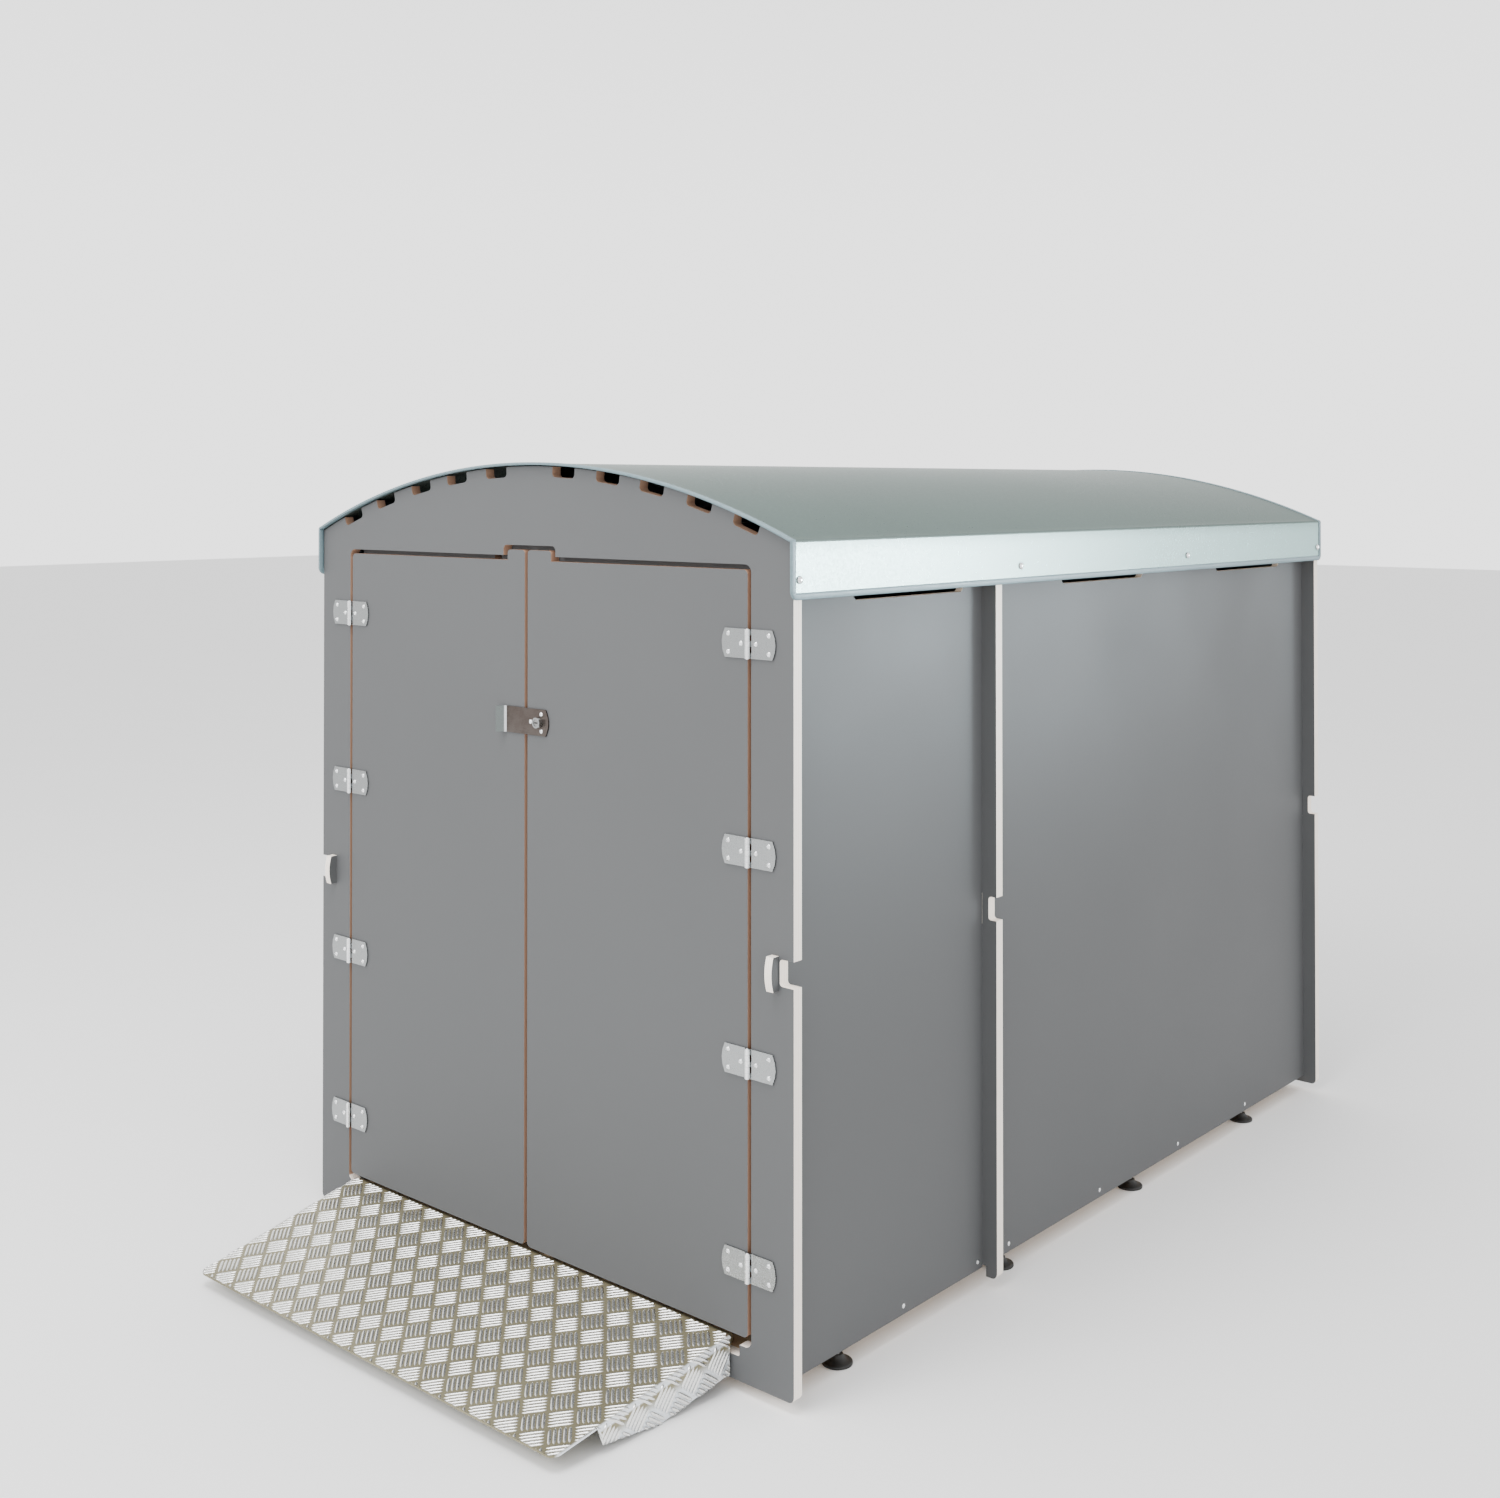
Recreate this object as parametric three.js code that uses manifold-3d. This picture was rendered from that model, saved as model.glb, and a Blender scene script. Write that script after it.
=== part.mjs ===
// Lockable animal and garden shelter: three plywood portals carry plywood side panels, a floor and one
// curved sheet-metal roof. Double doors close the front, a tread-plate ramp leads up to the sill and
// eight levelling feet carry the floor. Millimetres, +Z up, the doors face -Y, the ground is Z = 0.
import * as THREE from 'three';
import { mergeVertices } from 'three/addons/utils/BufferGeometryUtils.js';
import Module from 'manifold-3d';

const wasm = await Module();
wasm.setup();

// ---- driving dimensions -------------------------------------------------------------------------
const GAP = 0.3;                    // clearance between pieces that touch
const WIDTH = 1300;                 // portal width, and the widest plywood
const DEPTH = 2100;                 // from the front face to the rear face
const PLY = 21;                     // portals, doors and floor
const SIDE_PLY = 15;                // side panels
const LIFT = 20;                    // ground to the portals' lower edge
const SIDE_INSET = 32.5;            // how far the portal edges stand proud of the side panels
const MID_PORTAL_Y = 610;           // front face of the middle portal
const PORTAL_CORNER = 12;           // radius of the portals' outer corners

const ROOF_HALF = 654;              // half the roof's width at the crease
const ROOF_SHEET = 1.5;
const ROOF_OVERHANG = 10;           // past the front and rear faces
const EAVE_Z = 1444;                // crease between roof and fascia
const RIDGE_Z = 1578;
const FASCIA_Z = 1347;              // lower edge of the fascia
const FASCIA_CORNER = 14;           // radius of the fascia's lower corners
const ROOF_TO_PORTAL = 4;           // air gap between the sheet and the portals' arches
const ARC_SEGMENTS = 28;

const TRIM_REACH = 10;              // how far the edge trim grips over the sheet
const TRIM_WALL = 1.2;

const ARCH_NOTCH_X = [95, 213, 325, 440, 549];
const ARCH_NOTCH_WIDTH = 60;
const ARCH_NOTCH_DEPTH = 20;

const EDGE_NOTCH_Z = 725;           // middle of the strap notches in the portal edges
const EDGE_NOTCH_HEIGHT = 45;
const FRONT_NOTCH_DEPTH = 30;
const NOTCH_DEPTH = 18;             // in the middle and rear portals
const TAB_Z = 723;                  // middle of the side panels' tabs
const TAB_HEIGHT = 58;
const TAB_PROUD = 14;               // at its ends
const TAB_BULGE = 5;                // more at the middle

const SIDE_BOTTOM_Z = 36;
const SIDE_TOP_Z = 1436;
const VENT_SLOT_LENGTH = 340;
const VENT_SLOT_HEIGHT = 28;
const VENT_SLOT_Z = 1334;           // lower edge
const VENT_SLOTS_FRONT = [376];     // centres along the front side panel
const VENT_SLOTS_REAR = [1076, 1770];

const FLOOR_Z = 40.5;
const MID_PORTAL_LEG = 90;          // width of the middle portal's uprights
const MID_PORTAL_FOOT = 25;         // width of the part that reaches down beside the floor
const MID_PORTAL_CROWN = 80;        // depth of its crown under the arch

const BATTEN = 30;                  // eave batten, square-ish
const BATTEN_Z = 1364;

const ROOF_BOLT_Z = 1379;
const ROOF_BOLT_Y = [10.5, 692, 1386, 2089.5];
const ROOF_BOLT_HEAD = 6.75;        // head radius
const ROOF_BOLT_SHANK = 2.5;

const DOORWAY_HALF = 557;
const DOORWAY_SILL_Z = 81;
const DOORWAY_TOP_Z = 1402;
const DOORWAY_CORNER = 14;
const HEADER_NOTCH_HALF = 73;
const HEADER_NOTCH_RISE = 20;
const SILL_NOTCH_HALF = 531;        // the sill is cut down to floor level for the ramp's hook

const DOOR_OUTER_X = 549;
const DOOR_SEAM_X = -7.75;          // the doors meet slightly left of the middle
const DOOR_SEAM_HALF = 4.25;
const DOOR_BOTTOM_Z = 97;
const DOOR_TOP_Z = 1393;
const DOOR_CORNER = 9;
const DOOR_TAB_HALF = 61;
const DOOR_TAB_RISE = 20;

const STOP_HALF = 540;              // two strips behind the header that the doors close against
const STOP_LAP = 16;                // how far they lap the doors
const STOP_TOP_Z = 1454;
const STOP_GAP_HALF = 10;           // between the strips, where the shoot bolt passes

const HINGE_X = 553;
const HINGE_AXIS_Y = -5;
const HINGE_Z = [218, 561, 916, 1268];
const HINGE_HEIGHT = 50;
const HINGE_REACH = 60;             // from the pin to the end of a leaf
const HINGE_LEAF = 3;
const HINGE_END_SAGITTA = 7;
const KNUCKLE_RADIUS = 4.7;
const PIN_RADIUS = 2.6;
const HINGE_CUT = 7.2;              // how far a leaf is cut away beside the other leaf's knuckles
const KNUCKLES = 5;

const LOCK_Z = 1089;
const LOCK_HEIGHT = 50;
const LOCK_PLATE = 2.5;
const LOCK_RIGHT_X = 57;
const LOCK_LEFT_X = -62;
const LOCK_LIP = 22;
const LOCK_CYLINDER_X = 31;
const LOCK_CYLINDER_RADIUS = 10;
const LOCK_CYLINDER_FRONT_Y = -11;
const LOCK_PLUG_RADIUS = 6.5;
const CAM_LENGTH = 52;
const CAM_WIDTH = 14;
const CAM_THICKNESS = 3;

const SHOOT_BOLT_X = -112;
const SHOOT_BOLT_RADIUS = 5;
const SHOOT_BOLT_BOTTOM_Z = 1180;
const SHOOT_BOLT_TOP_Z = 1392;
const BOLT_PLATE = 3;
const BOLT_PLATE_HALF = 17;
const BOLT_PLATE_Z = 1200;
const BOLT_PLATE_HEIGHT = 130;
const BOLT_GUIDE_HALF = 9;
const BOLT_GUIDE_Z = [1212, 1300];
const BOLT_GUIDE_HEIGHT = 18;
const BOLT_KNOB_Z = 1258;

const FOOT_X = 592;
const FOOT_Y = [190, 709, 1229, 1774];
const PAD_RADIUS = 27.5;
const STEM_RADIUS = 4;

const RAMP_WIDTH = 1004;            // over the side flanges, at the tip
const RAMP_TAPER = 0.052;           // the plate widens by this share towards the sill
const RAMP_CENTRE_X = -15;
const RAMP_TIP_INSET = 6;           // from the flanges' outer faces
const RAMP_SHEET = 3;
const RAMP_RUN = 382;               // level distance from the tip to the front face
const RAMP_SLOPE = 0.158;
const RAMP_TOP_Z = 88.5;            // upper face where it crosses the front face
const RAMP_TIP_RADIUS = 16;         // corners of the tip, in plan
const RAMP_FLANGE_START = 92;       // from the tip
const RAMP_FLANGE_FRONT = 29;       // flange depth at its front
const RAMP_FLANGE_DEEP = 62;        // flange depth where it touches the ground
const RAMP_FLANGE_DEEP_AT = 214;    // from the tip
const RAMP_FLANGE_END = 4;          // from the front face, clear of the sill when tilted
const RAMP_BEND = 10;               // outer bend radius
const RAMP_HOOK_RADIUS = 13.5;      // the rolled upper edge that sits in the sill notch
const RAMP_HOOK_HALF = 514;
const RAMP_HOOK_Y = 2;              // where the roll starts

// ---- values that follow -------------------------------------------------------------------------
const HALF = WIDTH / 2;
const SIDE_OUTER_X = HALF - SIDE_INSET;
const SIDE_INNER_X = SIDE_OUTER_X - SIDE_PLY;
const REAR_PORTAL_Y = DEPTH - PLY;
const ROOF_RISE = RIDGE_Z - EAVE_Z;
const ROOF_RADIUS = (ROOF_HALF ** 2 + ROOF_RISE ** 2) / (2 * ROOF_RISE);
const ROOF_CENTRE_Z = RIDGE_Z - ROOF_RADIUS;
const PORTAL_ARCH_RADIUS = ROOF_RADIUS - ROOF_SHEET - ROOF_TO_PORTAL;
const FLOOR_TOP_Z = FLOOR_Z + PLY;
const RAMP_PITCH = Math.atan(RAMP_SLOPE);

// ---- materials ----------------------------------------------------------------------------------
const material = (color, roughness, metalness) =>
  new THREE.MeshStandardMaterial({ color, roughness, metalness });
const panelGrey = material(0x898b8d, 0.5, 0);
const plainWood = material(0xc9a980, 0.75, 0);
const roofSheet = material(0xa9b1ad, 0.35, 0.7);
const trimPlastic = material(0x5f7480, 0.6, 0);
const zinc = material(0xb9bcbc, 0.35, 0.9);
const steel = material(0x9a9c9b, 0.3, 0.9);
const blackPlastic = material(0x1d1f20, 0.7, 0);
const aluminium = material(0xc8c9c2, 0.3, 0.9);

// ---- solids -------------------------------------------------------------------------------------
const toSolid = (geometry) => {
  geometry.deleteAttribute('normal');
  geometry.deleteAttribute('uv');
  const merged = mergeVertices(geometry, 1e-4);
  return new wasm.Manifold(new wasm.Mesh({
    numProp: 3,
    vertProperties: new Float32Array(merged.attributes.position.array),
    triVerts: new Uint32Array(merged.index.array),
  }));
};

const toGeometry = (solid) => {
  const mesh = solid.getMesh();
  const geometry = new THREE.BufferGeometry();
  geometry.setAttribute('position', new THREE.BufferAttribute(new Float32Array(mesh.vertProperties), 3));
  geometry.setIndex(new THREE.BufferAttribute(new Uint32Array(mesh.triVerts), 1));
  return geometry;
};

const extrude = (shape, depth, curveSegments) =>
  new THREE.ExtrudeGeometry(shape, { depth, bevelEnabled: false, curveSegments });

// A shape drawn in X and Z, from y to y + thickness.
const frontal = (shape, y, thickness, curveSegments = 5) =>
  toSolid(extrude(shape, thickness, curveSegments).rotateX(Math.PI / 2).translate(0, y + thickness, 0));

// A shape drawn in Y and Z, from x to x + thickness.
const lateral = (shape, x, thickness, curveSegments = 5) => {
  const basis = new THREE.Matrix4().makeBasis(
    new THREE.Vector3(0, 1, 0), new THREE.Vector3(0, 0, 1), new THREE.Vector3(1, 0, 0));
  return toSolid(extrude(shape, thickness, curveSegments).applyMatrix4(basis).translate(x, 0, 0));
};

// A shape drawn in X and Y, from z to z + thickness.
const level = (shape, z, thickness, curveSegments = 5) =>
  toSolid(extrude(shape, thickness, curveSegments).translate(0, 0, z));

const block = (x0, x1, y0, y1, z0, z1) =>
  toSolid(new THREE.BoxGeometry(x1 - x0, y1 - y0, z1 - z0)
    .translate((x0 + x1) / 2, (y0 + y1) / 2, (z0 + z1) / 2));

// A solid of revolution about +Y: the profile is a list of [radius, y], and it starts and ends on the axis.
const turnedY = (profile, segments) =>
  toSolid(new THREE.LatheGeometry(profile.map(([r, y]) => new THREE.Vector2(r, y)), segments));

// The same about +Z: the profile is a list of [radius, z].
const turnedZ = (profile, segments) =>
  toSolid(new THREE.LatheGeometry(profile.map(([r, z]) => new THREE.Vector2(r, z)), segments)
    .rotateX(Math.PI / 2));

// The same about +X: the profile is a list of [radius, x].
const turnedX = (profile, segments) =>
  toSolid(new THREE.LatheGeometry(profile.map(([r, x]) => new THREE.Vector2(r, x)), segments)
    .rotateZ(-Math.PI / 2));

// The profile of a plain round rod for the three functions above.
const rod = (radius, from, to) => [[0, from], [radius, from], [radius, to], [0, to]];

const roundedRect = (x0, x1, y0, y1, radius) => {
  const shape = new THREE.Shape();
  shape.absarc(x0 + radius, y0 + radius, radius, Math.PI, 1.5 * Math.PI, false);
  shape.absarc(x1 - radius, y0 + radius, radius, -0.5 * Math.PI, 0, false);
  shape.absarc(x1 - radius, y1 - radius, radius, 0, 0.5 * Math.PI, false);
  shape.absarc(x0 + radius, y1 - radius, radius, 0.5 * Math.PI, Math.PI, false);
  shape.closePath();
  return shape;
};

const group = new THREE.Group();

const addPart = (name, solid, partMaterial) => {
  const mesh = new THREE.Mesh(toGeometry(solid), partMaterial);
  mesh.name = name;
  group.add(mesh);
};

const mirrored = (solid) => solid.mirror([1, 0, 0]);
const sides = [['left', mirrored], ['right', (solid) => solid]];

// ---- portals ------------------------------------------------------------------------------------
const archHeight = (x) => ROOF_CENTRE_Z + Math.sqrt(PORTAL_ARCH_RADIUS ** 2 - x ** 2);

// The outline shared by the portals: square shoulders with a round arch on top.
const portalBlank = (y) => {
  const shape = new THREE.Shape();
  const halfAngle = Math.asin(HALF / PORTAL_ARCH_RADIUS);
  shape.absarc(-HALF + PORTAL_CORNER, LIFT + PORTAL_CORNER, PORTAL_CORNER, Math.PI, 1.5 * Math.PI, false);
  shape.absarc(HALF - PORTAL_CORNER, LIFT + PORTAL_CORNER, PORTAL_CORNER, -0.5 * Math.PI, 0, false);
  for (let i = 0; i <= ARC_SEGMENTS; i += 1) {
    const x = PORTAL_ARCH_RADIUS * Math.sin(halfAngle * (1 - (2 * i) / ARC_SEGMENTS));
    shape.lineTo(x, archHeight(x));
  }
  shape.closePath();
  return frontal(shape, y, PLY);
};

const archVents = (y) => {
  const cuts = [];
  for (const x of ARCH_NOTCH_X) {
    const tilt = Math.asin(x / PORTAL_ARCH_RADIUS);
    const half = ARCH_NOTCH_WIDTH / 2;
    const shape = roundedRect(-half, half, -ARCH_NOTCH_DEPTH, ARCH_NOTCH_DEPTH, 8);
    const cut = frontal(shape, y - 1, PLY + 2, 3)
      .rotate([0, THREE.MathUtils.radToDeg(tilt), 0])
      .translate([x, 0, archHeight(x)]);
    cuts.push(cut, mirrored(cut));
  }
  return wasm.Manifold.union(cuts);
};

// Strap notches in both edges, and the slots that the side panels' tabs pass through.
const edgeCuts = (y, depth) => {
  const halfNotch = EDGE_NOTCH_HEIGHT / 2;
  const halfTab = TAB_HEIGHT / 2 + GAP;
  const outline = roundedRect(HALF - depth, HALF + 20, EDGE_NOTCH_Z - halfNotch, EDGE_NOTCH_Z + halfNotch, 6);
  const notch = frontal(outline, y - 1, PLY + 2, 3);
  const slot = block(SIDE_INNER_X - GAP, SIDE_OUTER_X + GAP, y - 1, y + PLY + 1,
    TAB_Z - halfTab, TAB_Z + halfTab);
  const right = notch.add(slot);
  return right.add(mirrored(right));
};

const doorwayCut = () => {
  const opening = frontal(
    roundedRect(-DOORWAY_HALF, DOORWAY_HALF, DOORWAY_SILL_Z, DOORWAY_TOP_Z, DOORWAY_CORNER), -1, PLY + 2);
  const headerNotch = frontal(roundedRect(-HEADER_NOTCH_HALF, HEADER_NOTCH_HALF,
    DOORWAY_TOP_Z - 40, DOORWAY_TOP_Z + HEADER_NOTCH_RISE, 9), -1, PLY + 2);
  const sillNotch = frontal(
    roundedRect(-SILL_NOTCH_HALF, SILL_NOTCH_HALF, FLOOR_TOP_Z, DOORWAY_SILL_Z + 40, 4), -1, PLY + 2, 3);
  return opening.add(headerNotch).add(sillNotch);
};

const midPortalOpening = () => {
  const half = HALF - MID_PORTAL_LEG;
  const radius = PORTAL_ARCH_RADIUS - MID_PORTAL_CROWN;
  const halfAngle = Math.asin(half / radius);
  const shape = new THREE.Shape();
  shape.moveTo(-half, LIFT - 10);
  shape.lineTo(half, LIFT - 10);
  for (let i = 0; i <= ARC_SEGMENTS / 2; i += 1) {
    const angle = halfAngle * (1 - (4 * i) / ARC_SEGMENTS);
    shape.lineTo(radius * Math.sin(angle), ROOF_CENTRE_Z + radius * Math.cos(angle));
  }
  shape.closePath();
  const besideFloor = HALF - MID_PORTAL_FOOT;
  return frontal(shape, MID_PORTAL_Y - 1, PLY + 2)
    .add(block(-besideFloor, besideFloor, MID_PORTAL_Y - 1, MID_PORTAL_Y + PLY + 1, 0, FLOOR_Z));
};

// Bores for the roof bolts, one per side at each bolt's y.
const roofBoltBores = (places) => {
  const bore = turnedX(rod(ROOF_BOLT_SHANK + GAP, SIDE_INNER_X, ROOF_HALF + 20), 12);
  const bores = places.map((y) => bore.translate([0, y, ROOF_BOLT_Z]));
  return wasm.Manifold.union([...bores, ...bores.map(mirrored)]);
};

addPart('front_portal', portalBlank(0).subtract(archVents(0)).subtract(edgeCuts(0, FRONT_NOTCH_DEPTH))
  .subtract(doorwayCut()).subtract(roofBoltBores([ROOF_BOLT_Y[0]])), panelGrey);
addPart('mid_portal', portalBlank(MID_PORTAL_Y).subtract(edgeCuts(MID_PORTAL_Y, NOTCH_DEPTH))
  .subtract(midPortalOpening()), panelGrey);
addPart('rear_portal', portalBlank(REAR_PORTAL_Y).subtract(archVents(REAR_PORTAL_Y))
  .subtract(edgeCuts(REAR_PORTAL_Y, NOTCH_DEPTH)).subtract(roofBoltBores([ROOF_BOLT_Y[3]])), panelGrey);

// ---- side panels and eave battens ---------------------------------------------------------------
// A tab with a bowed nose, from the panel's end at y to the far face of a portal and beyond it.
const bowedTab = (yPanel, yFace, direction) => {
  const half = TAB_HEIGHT / 2;
  const tip = yFace + direction * TAB_PROUD;
  const bow = yFace + direction * (TAB_PROUD + 2 * TAB_BULGE);
  const shape = new THREE.Shape();
  shape.moveTo(yPanel - direction * 5, TAB_Z - half);
  shape.lineTo(tip, TAB_Z - half);
  shape.quadraticCurveTo(bow, TAB_Z, tip, TAB_Z + half);
  shape.lineTo(yPanel - direction * 5, TAB_Z + half);
  shape.closePath();
  return lateral(shape, SIDE_INNER_X, SIDE_PLY, 8);
};

const sidePanel = (y0, y1, ventCentres) => {
  let solid = block(SIDE_INNER_X, SIDE_OUTER_X, y0, y1, SIDE_BOTTOM_Z, SIDE_TOP_Z);
  for (const centre of ventCentres) {
    const vent = roundedRect(centre - VENT_SLOT_LENGTH / 2, centre + VENT_SLOT_LENGTH / 2,
      VENT_SLOT_Z, VENT_SLOT_Z + VENT_SLOT_HEIGHT, 10);
    solid = solid.subtract(lateral(vent, SIDE_INNER_X - 1, SIDE_PLY + 2, 4));
  }
  return solid;
};

const frontPanelY = [PLY + GAP, MID_PORTAL_Y - GAP];
const rearPanelY = [MID_PORTAL_Y + PLY + GAP, REAR_PORTAL_Y - GAP];
const midTab = block(SIDE_INNER_X, SIDE_OUTER_X, MID_PORTAL_Y + GAP, rearPanelY[0] + 5,
  TAB_Z - TAB_HEIGHT / 2, TAB_Z + TAB_HEIGHT / 2);
const frontPanel = sidePanel(...frontPanelY, VENT_SLOTS_FRONT).add(bowedTab(frontPanelY[0], 0, -1));
const rearPanel = sidePanel(...rearPanelY, VENT_SLOTS_REAR)
  .add(midTab).add(bowedTab(rearPanelY[1], DEPTH, 1));
const batten = ([y0, y1]) =>
  block(SIDE_OUTER_X + GAP, HALF - GAP, y0, y1, BATTEN_Z, BATTEN_Z + BATTEN)
    .subtract(roofBoltBores(ROOF_BOLT_Y));

for (const [side, place] of sides) {
  addPart(`side_panel_front_${side}`, place(frontPanel), panelGrey);
  addPart(`side_panel_rear_${side}`, place(rearPanel), panelGrey);
  addPart(`eave_batten_front_${side}`, place(batten(frontPanelY)), plainWood);
  addPart(`eave_batten_rear_${side}`, place(batten(rearPanelY)), plainWood);
}

// ---- floor --------------------------------------------------------------------------------------
const floorPanel = () => {
  const reach = SIDE_INNER_X - GAP;
  let solid = block(-reach, reach, PLY + GAP, REAR_PORTAL_Y - GAP, FLOOR_Z, FLOOR_Z + PLY);
  const legCut = block(HALF - MID_PORTAL_LEG - GAP, HALF, MID_PORTAL_Y - GAP, MID_PORTAL_Y + PLY + GAP,
    FLOOR_Z - 1, FLOOR_Z + PLY + 1);
  solid = solid.subtract(legCut).subtract(mirrored(legCut));
  const bore = turnedZ(rod(STEM_RADIUS + GAP, FLOOR_Z - 1, FLOOR_Z + 15), 12);
  for (const y of FOOT_Y) {
    const hole = bore.translate([FOOT_X, y, 0]);
    solid = solid.subtract(hole).subtract(mirrored(hole));
  }
  return solid;
};
addPart('floor_panel', floorPanel(), plainWood);

// ---- roof sheet and its edge trim ---------------------------------------------------------------
// The roof's section at a distance `out` from its outer face, from the foot of the left fascia to that of
// the right one.
const roofLine = (out, footZ) => {
  const radius = ROOF_RADIUS + out;
  const creaseX = ROOF_HALF + out;
  const halfAngle = Math.asin(creaseX / radius);
  const points = [];
  points.push(new THREE.Vector2(-creaseX, footZ));
  for (let i = 0; i <= ARC_SEGMENTS; i += 1) {
    const angle = halfAngle * ((2 * i) / ARC_SEGMENTS - 1);
    points.push(new THREE.Vector2(radius * Math.sin(angle), ROOF_CENTRE_Z + radius * Math.cos(angle)));
  }
  points.push(new THREE.Vector2(creaseX, footZ));
  return points;
};

const roofShell = (inside, outside) => {
  const foot = FASCIA_Z - 8;
  const shape = new THREE.Shape([...roofLine(outside, foot), ...roofLine(inside, foot).reverse()]);
  return frontal(shape, -ROOF_OVERHANG - 8, DEPTH + 2 * ROOF_OVERHANG + 16);
};

// The roof's side view, grown by `grow`: straight ends and round lower corners, open at the top.
const roofSide = (grow) => {
  const reach = ROOF_OVERHANG + grow;
  const shape = roundedRect(-reach, DEPTH + reach, FASCIA_Z - grow, RIDGE_Z + 200, FASCIA_CORNER + grow);
  return lateral(shape, -ROOF_HALF - 60, 2 * ROOF_HALF + 120, 3);
};

const roof = roofShell(-ROOF_SHEET, 0).intersect(roofSide(0));
addPart('roof_sheet', roof.subtract(roofBoltBores(ROOF_BOLT_Y)), roofSheet);

const trimCore = roofShell(-ROOF_SHEET - GAP, GAP).intersect(roofSide(GAP));
const trim = roofShell(-ROOF_SHEET - GAP - TRIM_WALL, GAP + TRIM_WALL)
  .intersect(roofSide(GAP + TRIM_WALL)).subtract(roofSide(-TRIM_REACH)).subtract(trimCore);
addPart('roof_edge_trim', trim, trimPlastic);

const roofBolt = turnedX([[0, 622], [ROOF_BOLT_SHANK, 622], [ROOF_BOLT_SHANK, ROOF_HALF + GAP],
  [ROOF_BOLT_HEAD, ROOF_HALF + GAP], [ROOF_BOLT_HEAD, ROOF_HALF + 1.3], [5.2, ROOF_HALF + 3.2],
  [0, ROOF_HALF + 4.4]], 10);
ROOF_BOLT_Y.forEach((y, i) => {
  for (const [side, place] of sides) {
    addPart(`roof_bolt_${side}_${i + 1}`, place(roofBolt.translate([0, y, ROOF_BOLT_Z])), zinc);
  }
});

// ---- doors --------------------------------------------------------------------------------------
// The right-hand door, from its meeting edge at `seam` to the hinges; the tab on top rises into the header.
const door = (seam) => {
  const leaf = roundedRect(seam, DOOR_OUTER_X, DOOR_BOTTOM_Z, DOOR_TOP_Z, DOOR_CORNER);
  const tab = roundedRect(seam, DOOR_TAB_HALF, DOOR_TOP_Z - 60, DOOR_TOP_Z + DOOR_TAB_RISE, 7);
  return frontal(leaf, 0, PLY, 4).add(frontal(tab, 0, PLY, 4));
};
const lockBore = turnedY(rod(LOCK_CYLINDER_RADIUS + GAP, -10, PLY + 1), 24)
  .translate([LOCK_CYLINDER_X, 0, LOCK_Z]);
addPart('door_right', door(DOOR_SEAM_X + DOOR_SEAM_HALF).subtract(lockBore), panelGrey);
addPart('door_left', mirrored(door(DOOR_SEAM_HALF - DOOR_SEAM_X)), panelGrey);

const stopStrip = (x0, x1) =>
  frontal(roundedRect(x0, x1, DOOR_TOP_Z - STOP_LAP, STOP_TOP_Z, 8), PLY + GAP, PLY, 3);
addPart('door_stop_left', stopStrip(-STOP_HALF, SHOOT_BOLT_X - STOP_GAP_HALF), panelGrey);
addPart('door_stop_right', stopStrip(SHOOT_BOLT_X + STOP_GAP_HALF, STOP_HALF), panelGrey);

// ---- hinges -------------------------------------------------------------------------------------
// One leaf in its own frame: the pin runs along Z through the origin, the leaf lies behind it at +X and is
// fixed to a face at y = -HINGE_AXIS_Y. `odd` takes the first, third and fifth knuckles, and their pin.
const hingeLeaf = (odd) => {
  const half = HINGE_HEIGHT / 2;
  const root = 3.2;
  const faceY = -HINGE_AXIS_Y;
  const end = HINGE_REACH - HINGE_END_SAGITTA;
  const shape = new THREE.Shape();
  shape.moveTo(root, -half);
  shape.lineTo(end, -half);
  shape.quadraticCurveTo(end + 2 * HINGE_END_SAGITTA, 0, end, half);
  shape.lineTo(root, half);
  shape.closePath();
  let solid = frontal(shape, faceY - HINGE_LEAF, HINGE_LEAF - GAP, 4);
  const pitch = HINGE_HEIGHT / KNUCKLES;
  for (let i = 0; i < KNUCKLES; i += 1) {
    const z0 = -half + i * pitch;
    const own = (i % 2 === 0) === odd;
    const barrel = turnedZ(rod(KNUCKLE_RADIUS, z0, z0 + pitch), 8);
    const web = block(0, HINGE_CUT + 0.5, faceY - HINGE_LEAF, faceY - GAP, z0, z0 + pitch);
    if (own) {
      solid = solid.add(barrel).add(web);
    } else {
      solid = solid.subtract(turnedZ(rod(KNUCKLE_RADIUS + 0.6, z0 - GAP, z0 + pitch + GAP), 8));
      solid = solid.subtract(block(-10, HINGE_CUT, -10, 10, z0 - GAP, z0 + pitch + GAP));
    }
  }
  const reach = half + 1;
  const pin = (radius) => turnedZ(rod(radius, -reach, reach), 8);
  return odd ? solid.add(pin(PIN_RADIUS)) : solid.subtract(pin(PIN_RADIUS + GAP));
};

const fixedLeaf = hingeLeaf(true);
const movingLeaf = hingeLeaf(false);
HINGE_Z.forEach((z, i) => {
  const at = (solid) => solid.translate([HINGE_X, HINGE_AXIS_Y, z]);
  for (const [side, place] of sides) {
    addPart(`hinge_${side}_${i + 1}_frame_leaf`, place(at(fixedLeaf)), zinc);
    addPart(`hinge_${side}_${i + 1}_door_leaf`, place(at(mirrored(movingLeaf))), zinc);
  }
});

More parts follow.
